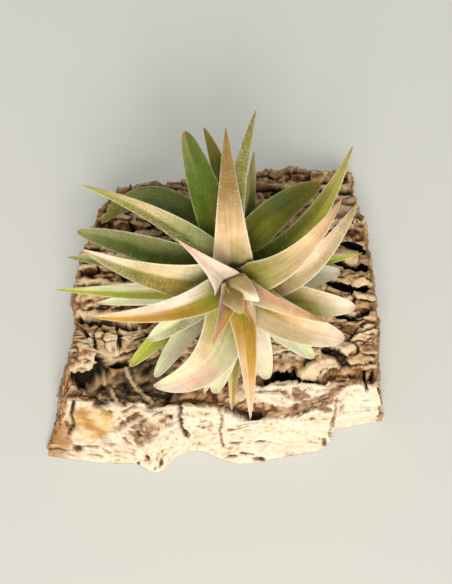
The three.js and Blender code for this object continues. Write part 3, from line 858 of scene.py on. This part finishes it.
def edge_point(edge, t):
    """Points on the smooth curve through an edge's points, with t from 0 to 1."""
    knots = np.array([edge[0], *edge, edge[-1]], dtype=float)
    place = np.clip(np.asarray(t) * (len(edge) - 1), 0, len(edge) - 1 - 1e-9)
    k = place.astype(int)
    w = (place - k)[..., None]
    a, b, c, d = knots[k], knots[k + 1], knots[k + 2], knots[k + 3]
    v0, v1 = (c - a) / 2, (d - b) / 2
    return (2 * b - 2 * c + v0 + v1) * w**3 + (3 * c - 3 * b - 2 * v0 - v1) * w**2 + v0 * w + b


def inside_point(edges, u, v):
    """Points inside four edges: both pairs of edges blended and added, less the blended corners."""
    front, back = edge_point(edges["front"], u), edge_point(edges["back"], u)
    left, right = edge_point(edges["left"], v), edge_point(edges["right"], v)
    u, v = u[..., None], v[..., None]
    between = front * (1 - v) + back * v + left * (1 - u) + right * u
    near, far = np.array(edges["front"], dtype=float), np.array(edges["back"], dtype=float)
    corners = (near[0] * (1 - u) + near[-1] * u) * (1 - v) + (far[0] * (1 - u) + far[-1] * u) * v
    return between - corners


def bark_height(x, y):
    """The height of the slab's top, without its fine relief."""
    height = BARK_CROWN - BARK_FALL * ((y - BARK_CROWN_Y) / BARK_FALL_REACH) ** 2
    height = height + ROLL_HEIGHT * (2 * field(x / 13, y / 6) - 1)

    # Grooves wander along the trunk where a slow field passes through its middle value.
    groove = (field(x / 24 + 7, y / 7 + 3) - 0.5) / GROOVE_BREADTH
    height = height - GROOVE_DEPTH * np.exp(-(groove**2))
    for cx, cy, rx, ry, rise in BARK_FORMS:
        height = height + rise * np.exp(-(((x - cx) / rx) ** 2) - ((y - cy) / ry) ** 2)
    seat = np.exp(-((np.hypot(x - FOOT.x, y - FOOT.y) / SEAT_RADIUS) ** 4))
    return height * (1 - seat) + SEAT_HEIGHT * seat


# %% Net the slab's surface
CELLS_X, CELLS_Y, WALL_RINGS = 240, 196, 54
OUTWARD = {"front": (0, -1), "right": (1, 0), "back": (0, 1), "left": (-1, 0)}
WALL_SWELL = 1.1


def bark_net():
    """Points, faces, the flat places that patterns are read at, the depths down the wall, the sides."""
    grid_u, grid_v = np.meshgrid(np.linspace(0, 1, CELLS_X + 1), np.linspace(0, 1, CELLS_Y + 1))
    plan = inside_point(BARK_RIM, grid_u, grid_v).reshape(-1, 2)
    top = np.column_stack([plan, bark_height(plan[:, 0], plan[:, 1])])
    columns = CELLS_X + 1
    faces = [
        (a, a + 1, a + columns + 1, a + columns)
        for j in range(CELLS_Y)
        for a in range(j * columns, j * columns + CELLS_X)
    ]
    edge_places = (
        [(i, 0, "front") for i in range(CELLS_X)]
        + [(CELLS_X, j, "right") for j in range(CELLS_Y)]
        + [(i, CELLS_Y, "back") for i in range(CELLS_X, 0, -1)]
        + [(0, j, "left") for j in range(CELLS_Y, 0, -1)]
    )
    above = [j * columns + i for i, j, _ in edge_places]
    rim = top[above]
    edge_u = np.array([i / CELLS_X for i, _, _ in edge_places])
    edge_v = np.array([j / CELLS_Y for _, j, _ in edge_places])
    base = inside_point(BARK_BASE, edge_u, edge_v)
    outward = np.array([OUTWARD[name] for _, _, name in edge_places], dtype=float)
    slope = np.sqrt(np.sum((rim[:, :2] - base) ** 2, axis=1) + rim[:, 2] ** 2)
    points, flat_places, down = [top], [plan], [np.zeros(len(top))]
    for ring in range(1, WALL_RINGS + 1):
        share = ring / WALL_RINGS
        z = rim[:, 2] * (1 - share)
        place = rim[:, :2] * (1 - share) + base * share
        swell = field((rim[:, 0] + rim[:, 1]) / 7, z / 3.5 + 11) * WALL_SWELL
        swell = swell * ease(share, 0, 0.25) * (1 - ease(share, 0.75, 1))
        place = place * (1 + swell / np.hypot(place[:, 0], place[:, 1]))[:, None]
        points.append(np.column_stack([place, z]))
        flat_places.append(rim[:, :2] + outward * (slope * share)[:, None])
        down.append(np.full(len(rim), share))
        here = list(range(len(top) + (ring - 1) * len(rim), len(top) + ring * len(rim)))
        for k in range(len(rim)):
            n = (k + 1) % len(rim)
            faces.append((above[k], here[k], here[n], above[n]))
        above = here
    faces.append(tuple(above[::-1]))
    side = np.array([name for _, _, name in edge_places])
    sides = np.concatenate([np.full(len(top), "top"), np.tile(side, WALL_RINGS)])
    return np.vstack(points), faces, np.vstack(flat_places), np.concatenate(down), sides


bark_points, bark_faces, flat_places, down, sides = bark_net()
bark = mesh_object("cork_slab", bark_points, bark_faces)
plan_x, plan_y = bark_points[:, 0], bark_points[:, 1]
x, y = flat_places.T
print("cork net:", len(bark_faces), "faces")

# %% [markdown]
# ## The features of this slab
#
# What gives this slab its face are single features, such as its black hollows and the cracks in its
# cut front. They are short lists of places in plan, in millimetres. Lines have a half width and a
# depth, and ellipses have a middle and two half widths.

# %% Name the features of this slab
# A crevice is painted black: partly the dark bark deep in it, and partly painted shade and the painted
# shadows of the ledge and the leaves above it.
CREVICES = [
    ([(-38, -3.2), (-33.3, -3.2), (-28.7, -3.8), (-22, -4.8)], 1.2, 3.4),
    ([(-30.4, -13.8), (-27.4, -14.8), (-24.2, -14.2)], 1.2, 3.4),
    ([(-37.5, -18.6), (-34.5, -19.0), (-31.2, -17.4), (-29.0, -16.4)], 1.4, 3.8),
    ([(-31.4, -11.5), (-32.0, -8), (-30.6, -5.5)], 0.5, 1.6),
    ([(-25.2, -10.5), (-24.9, -7.4), (-26.2, -4.6)], 0.6, 2.0),
    ([(4.6, -26.8), (8.8, -27.8), (13.4, -28.4)], 1.05, 1.7),
    ([(12.5, -19.8), (17.6, -18.4), (23.5, -18.2), (29.5, -19.4)], 1.1, 3.0),
    ([(30.6, -11.6), (33.8, -12.8), (35.8, -15.4)], 1.3, 3.4),
    ([(40.9, -17.4), (41.5, -21.8)], 0.4, 1.4),
    ([(8, 37.7), (16, 38.9), (24.6, 38.3), (38.5, 39.5)], 0.7, 2.4),
    ([(30, 29.6), (35, 28.7), (39.9, 29.3)], 1.0, 3.0),
    ([(35, 20.0), (41.2, 18.6)], 1.0, 3.0),
    ([(31, 14.0), (38, 12.4), (41.4, 12.4)], 1.4, 3.6),
    ([(32, 6.9), (37, 5.4), (41.6, 5.7)], 1.1, 3.2),
    ([(32, -0.6), (37, -2.4), (42, -1.6)], 0.8, 2.2),
    ([(-22, 37.2), (-12, 36.0), (-2, 36.6)], 0.9, 2.6),
    ([(-37, 13.2), (-31, 14.0), (-25, 12.8), (-18, 14.2)], 1.1, 3.0),
    ([(-36, 21.6), (-29, 21.0), (-20, 22.8)], 0.9, 2.6),
    ([(-38, 5.0), (-31, 6.0), (-25, 4.2)], 1.0, 2.6),
]
CRACKS = [
    ([(-9.6, -22.4), (-8.6, -25), (-9.0, -28.3), (-8.3, -31.0), (-7.2, -33.0)], 0.7, 1.0),
    ([(1.6, -26.3), (2.4, -28.4), (2.0, -31.2), (2.7, -34.8)], 0.4, 0.3),
    ([(33.7, -24.3), (33.3, -28.0), (31.9, -31.6)], 0.45, 0.15),
    ([(-37.6, -24.6), (-38.6, -27.8), (-38.0, -30.0), (-39.2, -31.6)], 0.6, 1.4),
    ([(-24.8, -29.6), (-21.6, -30.4), (-19.6, -32.6)], 0.5, 0.8),
    ([(-30.4, -25.6), (-26.8, -27.4), (-24.4, -28.6)], 0.45, 0.9),
    ([(-19.5, -25.4), (-14.4, -26.6), (-11.6, -28.6)], 0.5, 0.8),
]
PORES = [
    (-37.4, -35.6, 1.7, 0.8), (-18.2, -38.2, 0.7, 0.7), (-14.2, -39.2, 0.8, 0.9), (-20.6, -38.9, 0.5, 0.4),
    (30.9, -33.6, 0.9, 0.8), (6.2, -34.0, 2.0, 0.35), (12.9, -34.0, 1.4, 0.35), (9.0, -36.8, 2.2, 0.4),
    (12.6, -37.9, 2.4, 0.5), (5.0, -37.4, 1.8, 0.35),
]
RECESS = (-20.5, -19.6, 13.5, 6.6)
RECESS_LIP = (-27.4, -25.4, 5.4, 3.6)
LEFT_RIM = (-43.4, -30.0, 4.8, 9.0)
GOLDEN_BLOCK = (-32.4, -28.8, 6.4, 5.0)
SHARDS = (-22.0, -27.2, 9.0, 3.2)
MOTTLED_PATCHES = [(-21.0, -30.8, 6.2, 4.2), (31.0, -25.0, 5.0, 2.4), (-27.9, -35.4, 2.4, 1.5)]
# Painted highlight: pale cream goes on these raised lumps and on the ridge below, where they catch the light.
HIGHLIGHT_PATCHES = [
    (-34.0, -0.2, 3.4, 2.2), (-32.6, -15.6, 4.4, 2.6), (-26.8, -9.8, 2.6, 2.4), (-22.3, -6.9, 3.0, 2.2),
    (-33.2, -10.3, 2.8, 1.8), (20.0, -11.6, 7.5, 3.0),
]
SHADED_PATCH = (-21.8, -11.6, 5.0, 3.4)
HIGHLIT_RIDGE = [(25.5, -17.0), (31.5, -14.8), (36, -11.2), (42.5, -6.2)]
LAYERED_LEDGE = (22.0, -22.4, 14.0, 3.8)
VEINS = [
    [(-30.3, -14.4), (-30.0, -18.1), (-28.0, -21.3), (-25.4, -25.2)],
    [(-24.4, -12.8), (-23.0, -17.3), (-20.6, -20.3), (-16.6, -24.0)],
]
BROWN_BAND = [(-10, -24.6), (-3, -25.0), (4, -26.4), (14, -28.0), (23, -27.2), (30, -24.6), (34, -21.6)]
GOLDEN_STREAK = [(-36.2, -27.0), (-33.9, -29.4), (-30.2, -32.2)]
PALE_RIDGE = [(-28.6, -33.0), (-24, -30.8), (-20, -28.4), (-15, -26.4), (-9, -24.6)]
BAND_HALF_WIDTH, VEIN_HALF_WIDTH, PALE_RIDGE_HALF_WIDTH, HIGHLIT_RIDGE_HALF_WIDTH = 1.4, 0.5, 0.45, 1.7


def line_distance(x, y, points):
    """The distance of every point to a run of straight stretches."""
    best = np.full(x.shape, 1e9)
    for (ax, ay), (bx, by) in zip(points, points[1:]):
        length = (bx - ax) ** 2 + (by - ay) ** 2
        t = np.clip(((x - ax) * (bx - ax) + (y - ay) * (by - ay)) / length, 0, 1)
        best = np.minimum(best, np.hypot(x - ax - t * (bx - ax), y - ay - t * (by - ay)))
    return best


def patch(x, y, middle):
    """1 inside an ellipse, falling to 0 outside it."""
    cx, cy, rx, ry = middle
    return 1 - ease(np.hypot((x - cx) / rx, (y - cy) / ry), 0.75, 1.15)


def ragged(distance, rough):
    """1 where the distance is below 1, and 0 past it, with a torn edge."""
    return 1 - ease(distance + 0.35 * rough, 0.8, 1.15)


def grain(length, width, seed, octaves=4):
    """Noise on the folded-out surface, in spots of this length and width in millimetres."""
    return fractal(x / length, y / width, seed, octaves)


# %% [markdown]
# ## Relief of the cork
#
# The relief goes on in layers, as the bark grew and broke: long crests along the trunk, blocks with
# fissures between some of them, chips on the blocks, then grain. The cut front and the ends show the
# bark's layers edge on, and one ridge on the right stands proud. Sculpting could do this too, but here
# each layer is one line that can be changed on its own. Features are placed in plan, and patterns
# are read on the walls folded out flat.

# %% Mark the regions of the slab
# Places bent by noise keep crests, blocks and the edges of regions from running dead straight.
wx = x + 2.4 * grain(9, 6, 21)
wy = y + 1.5 * grain(10, 5, 22)
rough = grain(2.2, 1.5, 51)
fine = grain(1.0, 0.75, 48, 3)
jag_x, jag_y = plan_x + 0.7 * (wx - x), plan_y + wy - y + 0.5 * rough

lip = patch(jag_x, jag_y, RECESS_LIP)
broken = (sides == "front") * ease(down - 0.3 * lip, 0.0, 0.04)
ends = ((sides == "left") | (sides == "right")) * ease(down, 0.0, 0.07)
buried = (sides != "front") * ease(down, 0.0, 0.35)
recess = np.maximum(patch(jag_x, jag_y, RECESS), lip) * (1 - broken)
ledge = patch(jag_x, jag_y, LAYERED_LEDGE) * (1 - ease(down, 0, 0.06))
golden = patch(jag_x, jag_y, GOLDEN_BLOCK) * ease(plan_y + 0.35 * plan_x, -36.0, -37.5)
left_rim = patch(jag_x, jag_y, LEFT_RIM) * broken
shards = patch(jag_x, jag_y, SHARDS) * (1 - golden)
outer = (1 - broken) * (1 - ends) * (1 - 0.85 * recess) * (1 - 0.85 * ledge) * (1 - 0.8 * golden)
print("share of outer bark:", outer.mean().round(2))

# %% Raise the outer bark: crests along the trunk, long blocks that broke along them, and chips
# A pattern is read at x and y over the length and width of one crest, block or chip in millimetres.
# Crests are a little over 0.6 high on average. Taking about that away keeps the slab's height.
CREST_RISE, BLOCK_RISE, FISSURE_DEPTH = 3.2, 1.4, 1.9

long_crests = crests(wx / 17, wy / 4.2, 3)
gap, block, block_tone = blocks(wx / 7.5, wy / 3.0, 5)
_, chip, chip_tone = blocks(wx / 2.4 + 0.6 * rough, wy / 1.2 + 0.4 * rough, 15)
parted = ease(field(x / 8, y / 4.5, 8), 0.4, 0.7)
fissure = (1 - ease(gap + 0.1 * rough, 0.02, 0.17)) * parted
lift = CREST_RISE * (long_crests - 0.62) + BLOCK_RISE * block - FISSURE_DEPTH * fissure + 0.5 * rough
lift = outer * lift
lift += (0.45 * outer + 0.3 * ledge + 0.2 * broken + 0.35 * recess) * chip
print("outer bark: lift", lift.min().round(1), "to", lift.max().round(1), "mm")

# %% Raise the broken cork: layers seen edge on, and steps where it tore
layer = crests(x / 12, y + 1.3 * grain(8, 3.5, 41), 42, 2)
strata = crests(x / 8 + 3, (y + 1.2 * grain(8, 4, 43)) / 1.7, 44, 3)
_, torn, torn_tone = blocks(wx / 5.5, wy / 2.6, 45)
plies = crests(y / 9, (x + 1.1 * fractal(y / 7, x / 4, 82)) / 1.5, 83, 3)
_, plate, plate_tone = blocks(wy / 7, wx / 2.3, 85)
sliver = crests((x + y) / 7, (y * 0.86 - x * 0.5 + 0.5 * rough) / 1.35, 49, 2)

lift += ledge * 1.7 * (layer - 0.6)
lift += broken * (0.6 * (strata - 0.62) + 0.4 * torn + 0.8 * grain(6, 4.5, 46) + 0.2 * rough)
lift += ends * (1.7 * (plies - 0.62) + 0.8 * plate + 0.9 * fractal(y / 6, x / 4, 84) + 0.4 * rough)
lift += recess * (1.0 * grain(3, 1.8, 47) + 0.8 * (crests(x / 9, y / 1.6, 50, 2) - 0.6))
lift += 0.2 * fine
print("with the broken cork:", lift.min().round(1), "to", lift.max().round(1), "mm")

# %% Cut the single features into it
# Painted shade: fissures and crevices are painted black, partly as dark bark and partly as shade and shadow.
dark = 0.8 * fissure * outer
for points, half, depth in CREVICES:
    away = line_distance(plan_x + 0.3 * rough, plan_y + 0.3 * fine, points) / half
    lift -= depth * (1 - ease(away + 0.3 * rough, 0.5, 1.3)) * (1 - 0.9 * buried)
    dark = np.maximum(dark, ragged(away * 1.1, rough + 0.5 * fine) * (1 - buried))
crack = np.zeros(len(x))
for points, half, depth in CRACKS:
    away = line_distance(plan_x + 0.4 * rough, plan_y + 0.3 * fine, points) / half
    lift -= depth * (1 - ease(away + 0.3 * rough, 0.4, 1.4))
    crack = np.maximum(crack, ragged(away, 1.5 * rough + 0.6 * fine))
for cx, cy, rx, ry in PORES:
    away = np.hypot((plan_x - cx) / rx, (plan_y - cy) / ry)
    lift -= 0.9 * (1 - ease(away, 0.4, 1.4))
    crack = np.maximum(crack, ragged(away, rough + fine))

band = ragged(line_distance(plan_x, plan_y + 0.5 * fine, BROWN_BAND) / BAND_HALF_WIDTH, 1.3 * rough)
vein_lines = [ragged(line_distance(plan_x, plan_y, line) / VEIN_HALF_WIDTH, rough) for line in VEINS]
veins = np.maximum(*vein_lines) * recess
ridge_away = line_distance(plan_x + rough, plan_y + 0.6 * rough, PALE_RIDGE)
ridge = ragged(ridge_away / PALE_RIDGE_HALF_WIDTH, 1.5 * rough)
highlit_ridge = ragged(line_distance(plan_x, plan_y, HIGHLIT_RIDGE) / HIGHLIT_RIDGE_HALF_WIDTH, 1.5 * rough)
spots = [patch(plan_x + 0.8 * rough, plan_y + 0.6 * rough, place) for place in HIGHLIGHT_PATCHES]
painted_highlight = np.maximum.reduce([*spots, highlit_ridge]) * outer
lift += 0.8 * veins - 0.6 * band + 2.6 * shards * (sliver - 0.6) + 1.1 * highlit_ridge * outer
lift += 0.4 * ridge + golden * (0.8 - 0.3 * rough)
print("cut in:", len(CREVICES), "crevices,", len(CRACKS), "cracks and", len(PORES), "pores")

# %% Move the net by the relief
FOOT_OF_WALL = 0.93
LEAST_HEIGHT = 0.15

raised = bark_points + vertex_rows(bark.data, "normal") * (lift * ease(down, 1.0, FOOT_OF_WALL))[:, None]
raised[:, 2] = np.maximum(raised[:, 2], np.where(down >= 1, 0, LEAST_HEIGHT))
bark.data.vertices.foreach_set("co", (raised * MM).ravel())
bark.data.update()
print("cork slab: lift", lift.min().round(1), "to", lift.max().round(1), "mm")

# %% [markdown]
# ## Colour of the cork
#
# Colour follows relief: what lies deeper than its surroundings is dark, partly because dust and old
# bark stay there and partly as painted shade, and what stands proud is paler, partly worn and partly
# painted light. Each kind of surface has its own run of colours from hollow to proud. Thin coats of
# other colours then go over them in spots.

# %% Measure how hollow every point is
NEAR_CELLS, FAR_CELLS = 2, 6


def hollowness(lift, reach):
    """How much lower each point of the net lies than the points round it, in millimetres."""
    count_top = (CELLS_X + 1) * (CELLS_Y + 1)
    top = lift[:count_top].reshape(CELLS_Y + 1, CELLS_X + 1)
    wall = lift[count_top:].reshape(WALL_RINGS, -1)
    return np.concatenate([(blurred(grid, reach) - grid).ravel() for grid in (top, wall)])


hollow = 0.7 * hollowness(lift, FAR_CELLS) + 0.9 * hollowness(lift, NEAR_CELLS)
print("deepest hollow:", hollow.max().round(1), "mm")

# %% Name the colours of cork
BARK_PALETTE = {
    "black": "#150D08",
    "dark brown": "#3E2A1C",
    "brown": "#825E40",
    "red brown": "#84492E",
    "tan": "#BD976A",
    "pink tan": "#D2AE8A",
    "pale": "#E8CDA8",
    "olive": "#51422F",
    "olive brown": "#78644A",
    "vein": "#CDB48C",
    "cream": "#F5DEBF",
    "pale cream": "#FFF2DF",
    "mottle": "#A9835F",
    "gold": "#E6C079",
    "amber": "#B0722F",
}
OUTER_STEPS = [
    (-1.8, "black"), (-1.0, "dark brown"), (-0.4, "brown"), (0.05, "tan"), (0.5, "pink tan"), (1.1, "pale"),
]
BROKEN_STEPS = [
    (-1.5, "dark brown"), (-1.0, "brown"), (-0.6, "mottle"), (-0.25, "cream"), (0.5, "pale cream"),
]
END_STEPS = [(-1.3, "dark brown"), (-0.7, "brown"), (-0.2, "amber"), (0.25, "tan"), (0.9, "pink tan")]
RECESS_STEPS = [(-0.7, "black"), (-0.1, "olive"), (0.55, "olive brown"), (1.3, "tan")]


def stepped(level, steps):
    """Colours for levels, from hollow to proud, through the named colours of these steps."""
    places, names = zip(*steps)
    return colour_run(level, places, [BARK_PALETTE[name] for name in names])


def lay(paint, share):
    """Lays a colour of the palette, or other colours, over what is there."""
    over = np.array(linear(BARK_PALETTE[paint])) if isinstance(paint, str) else paint
    tints[:] = tints + (over - tints) * np.clip(share, 0, 1)[:, None]


def flecks(length, width, seed, low, high, fray=0.3):
    """Spots of this length and width, with edges frayed by the fine noise."""
    return ease(grain(length, width, seed) + fray * fine, low, high)


# %% Tint the outer bark and its hollows
# The last number in a coat is how much of what lies under it the coat hides at most.
# Painted shade and light: the deeper a point lies below those round it, the darker its step, and the prouder,
# the paler. The shaded patch is painted shade as well.
level = -hollow + 0.35 * fine
blocky = 0.8 * (block_tone - 0.5) + 0.5 * (chip_tone - 0.5)
tints = stepped(level + 0.5 * grain(11, 6, 61) + blocky, OUTER_STEPS)
shaded = patch(plan_x + rough, plan_y + rough, SHADED_PATCH) * outer
lay("red brown", outer * flecks(4, 2.2, 63, 0.35, 0.6) * 0.6)
# Painted highlight: pale cream on the raised lumps and the ridge that catch the light.
lay("cream", painted_highlight * ease(level + 0.3 * rough, -0.8, 0.3) * 0.75)
lay("dark brown", shaded * ease(level, 0.5, -0.5) * 0.8)
lay(stepped(level + 0.4 * grain(2.5, 1.2, 69), RECESS_STEPS), recess)
lay("vein", veins * 0.85)

# %% Tint the cut ends and the broken front
# As on the outer bark, the ends and the broken front are painted darker in hollows as shade and paler where
# proud as light.
end = level + 0.5 * fractal(y / 6, x / 3, 86) + 0.5 * (plate_tone - 0.5) + 0.8 * (plies - 0.6)
lay(stepped(end, END_STEPS), ends)
lay("dark brown", ends * ease(fractal(y / 1.8, x / 1.2, 87) + 0.3 * fine, 0.42, 0.56) * 0.7)
face = level + 0.15 + 0.4 * grain(7, 5, 64) + 0.3 * (torn_tone - 0.4)
lay(stepped(face, BROKEN_STEPS), np.maximum(broken, ledge))
lay("brown", ledge * ease(layer + 0.12 * fine, 0.5, 0.4) * 0.8)
lay("mottle", broken * flecks(2.6, 0.9, 65, 0.38, 0.5, 0.4) * ease(field(x / 9, y / 6, 66), 0.4, 0.7) * 0.55)
mottled = np.maximum.reduce([patch(plan_x + rough, plan_y, place) for place in MOTTLED_PATCHES])
lay("mottle", mottled * flecks(3.4, 2.2, 67, -0.12, 0.08) * 0.9)
lay("brown", mottled * flecks(2.2, 1.4, 68, 0.22, 0.36) * 0.9)
lay("tan", left_rim * ease(grain(3, 3, 76) - 0.08 * (plan_y + 32), -0.5, -0.1) * 0.8)
lay("amber", left_rim * flecks(4, 5, 74, -0.4, 0.1) * 0.7)
lay("dark brown", left_rim * flecks(2, 2.5, 75, 0.25, 0.4, 0.4) * 0.8)

# %% Tint the single features
lay("brown", crack * (0.4 + 0.4 * ease(fine + 0.6 * rough, -0.3, 0.2)))
# Painted shade: cracks are painted darker where they lie deep.
lay("dark brown", crack * ease(hollow, 0.3, 0.9) * 0.8)
lay("brown", band * 0.85)
lay("dark brown", band * flecks(2.4, 1.1, 70, 0.15, 0.4, 0.4) * 0.8)
lay("pink tan", band * flecks(2.0, 0.9, 71, -0.05, 0.3, 0.4) * 0.8)
lay("cream", shards * ease(sliver, 0.5, 0.62))
lay("brown", shards * ease(sliver + 0.1 * fine, 0.58, 0.48))
lay("pale cream", shards * ease(sliver, 0.72, 0.85))
lay("gold", golden * ease(level, -1.2, -0.6) * flecks(5, 3.5, 77, -0.9, -0.2, 0))
lay("pale cream", golden * flecks(4, 3, 73, 0.0, 0.4, 0) * 0.4)
streak_away = line_distance(plan_x, plan_y, GOLDEN_STREAK) + 0.9 * rough + 1.2 * grain(6, 1.5, 78)
lay("amber", (1 - ease(streak_away, 0.2, 2.4)) * golden * 0.7)
lay("pale cream", ridge * 0.5)
# Black in the fissures and crevices: partly dark bark, partly painted shade and shadow.
lay("black", np.clip(dark, 0, 1) * 0.9)
write_attribute(bark.data, "tint", tints)
print("mean colour of the cork:", tints.mean(axis=0).round(2))

# %% [markdown]
# ## Cork's finish
#
# Cork is dead, dry cells full of air, so it is quite matt and takes no gloss. The points carry its
# colours; the material adds what is finer than the net: the grain of crushed cells, brown pores and
# small dark flecks drawn out along the grain.

# %% Make the cork's finish
CORK_GRAIN = 1.3 * MM
FLECK_LENGTH = 1.8 * MM
FLECK_WIDTH = 0.45 * MM


def cork_finish():
    """Virgin cork, dry and broken: to the eye it is quite matt, grainy and flecked."""
    cork, tree, surface = new_material("virgin cork", {"Roughness": 0.92, "Specular IOR Level": 0.2})
    put = partial(add, tree)
    tint = put("ShaderNodeAttribute", attribute_name="tint").outputs["Color"]
    place = put("ShaderNodeTexCoord").outputs["Object"]
    cells = {"Scale": 1 / CORK_GRAIN, "Detail": 8.0, "Roughness": 0.7}
    grains = put("ShaderNodeTexNoise", {"Vector": place, **cells})
    limits = {"From Min": 0.34, "From Max": 0.66, "To Min": 0.8, "To Max": 1.16}
    shaded = put(VECTOR_MATH, tint, {"Scale": put("ShaderNodeMapRange", grains, limits)}, operation="SCALE")
    pull = (1 / FLECK_LENGTH, 1 / FLECK_WIDTH, 1 / FLECK_WIDTH)
    fleck_place = put(VECTOR_MATH, place, pull, operation="MULTIPLY")
    fleck = put("ShaderNodeTexNoise", {"Vector": fleck_place, "Scale": 1.0, "Detail": 4.0})
    share = put("ShaderNodeMapRange", fleck, {"From Min": 0.6, "From Max": 0.72, "To Max": 0.26})
    flecked = put("ShaderNodeMix", share, {6: shaded, 7: linear("#8A6A42")}, data_type="RGBA").outputs[2]

    # Hollows stay dark: the flecks fade out where the tint is nearly black.
    lightness = put("ShaderNodeRGBToBW", tint)
    kept = put("ShaderNodeMapRange", lightness, {"From Min": 0.02, "From Max": 0.12})
    colour = put("ShaderNodeMix", kept, {6: shaded, 7: flecked}, data_type="RGBA").outputs[2]
    tree.links.new(colour, surface.inputs["Base Color"])
    height = put(MATH, fleck, -0.6, grains, operation="MULTIPLY_ADD")
    bump = put("ShaderNodeBump", {"Height": height, "Strength": 0.9, "Distance": 0.5 * MM})
    tree.links.new(bump.outputs[0], surface.inputs["Normal"])
    return cork


bark.data.materials.append(cork_finish())
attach(bark, "root")
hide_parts("cork_bark")

# %% [markdown]
# ## The stem
#
# Old leaves leave their dry bases on the stem, so it looks thatched. A tree of nodes places them: one
# flat scale on every point of a spiral, each a golden angle on from the last, as the leaves grew.

# %% Thatch the stem with old leaf bases
STEM_INPUTS = {
    "Base count": 64,
    "Height": 31 * MM,
    "Foot radius": 3.4 * MM,
    "Top radius": 1.2 * MM,
    "Base length": 7.0 * MM,
    "Base width": 5.2 * MM,
    "Base thickness": 1.1 * MM,
    "Step": math.radians(137.5),
}
CORE = {"Vertices": 24, "Side Segments": 12, "Radius Top": 0.8 * MM}
STEM_BEND = 2.2
BASE_TIPPING = (0, 0.16, 0)


def stem_tree(skin):
    """The stem's core with a spiral of flat leaf bases on it."""
    tree, given = new_tree("Thatched stem", STEM_INPUTS)
    put = partial(add, tree)
    index = put("GeometryNodeInputIndex")
    share = put(MATH, index, given["Base count"], operation="DIVIDE")
    rise = put(MATH, share, given["Height"], operation="MULTIPLY")
    turn = put(MATH, index, given["Step"], operation="MULTIPLY")
    bend = put(MATH, share, STEM_BEND, operation="POWER")
    radii = {2: given["Foot radius"], 3: given["Top radius"]}
    radius = put("ShaderNodeMix", bend, radii, data_type="FLOAT")
    ways_out = [put(MATH, turn, operation=way) for way in ("COSINE", "SINE")]
    beside = [put(MATH, way_out, radius, operation="MULTIPLY") for way_out in ways_out]
    spot = put("ShaderNodeCombineXYZ", *beside, rise)
    spiral = put("GeometryNodeMeshLine", {"Count": given["Base count"]})
    spiral = put("GeometryNodeSetPosition", {"Geometry": spiral, "Position": spot})
    sizes = [given["Base " + way] for way in ("thickness", "width", "length")]
    shaping = {"Scale": put("ShaderNodeCombineXYZ", *sizes), "Rotation": BASE_TIPPING}
    base = put("GeometryNodeMeshIcoSphere", {"Radius": 0.5, "Subdivisions": 3})
    base = put("GeometryNodeTransform", {"Geometry": base, **shaping})
    placed = {"Points": spiral, "Instance": base, "Rotation": put("ShaderNodeCombineXYZ", {2: turn})}
    bases = put("GeometryNodeInstanceOnPoints", placed)
    core = {**CORE, "Radius Bottom": given["Foot radius"], "Depth": given["Height"]}
    both = put("GeometryNodeJoinGeometry")
    for shape in (put("GeometryNodeMeshCone", core), bases):
        tree.links.new(shape.outputs[0], both.inputs[0])
    whole = put("GeometryNodeSetShadeSmooth", put("GeometryNodeRealizeInstances", both))
    whole = put("GeometryNodeSetMaterial", {"Geometry": whole, "Material": skin})
    put("NodeGroupOutput", whole)
    return tree


# %% Tint the stem and stand it in the bark
# Its colours change with the height in millimetres. The dark green near the top is partly the
# young stem's colour and partly painted shade deep in the heart.
STEM_COLOURS = {0: "#6B4E30", 6: "#9A7A4C", 14: "#8E8A4A", 26: "#6E7A3C", 38: "#5A6A30"}
STEM_FROST = 0.2

stem = run_tree("thatched_stem", stem_tree(skin), {})
stem_places = vertex_rows(stem.data)
stem_tint = colour_run(stem_places[:, 2] / MM, list(STEM_COLOURS), STEM_COLOURS.values())
write_attribute(stem.data, "tint", stem_tint)
write_attribute(stem.data, "skin_place", stem_places)
for name, value in {"frost": STEM_FROST, "across": 0, "fringe": 0}.items():
    write_attribute(stem.data, name, np.full(len(stem_places), value))
stem.data.transform(STEM_FRAME)
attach(stem, "root")
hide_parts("stem")
print("stem:", len(stem.data.polygons), "faces")
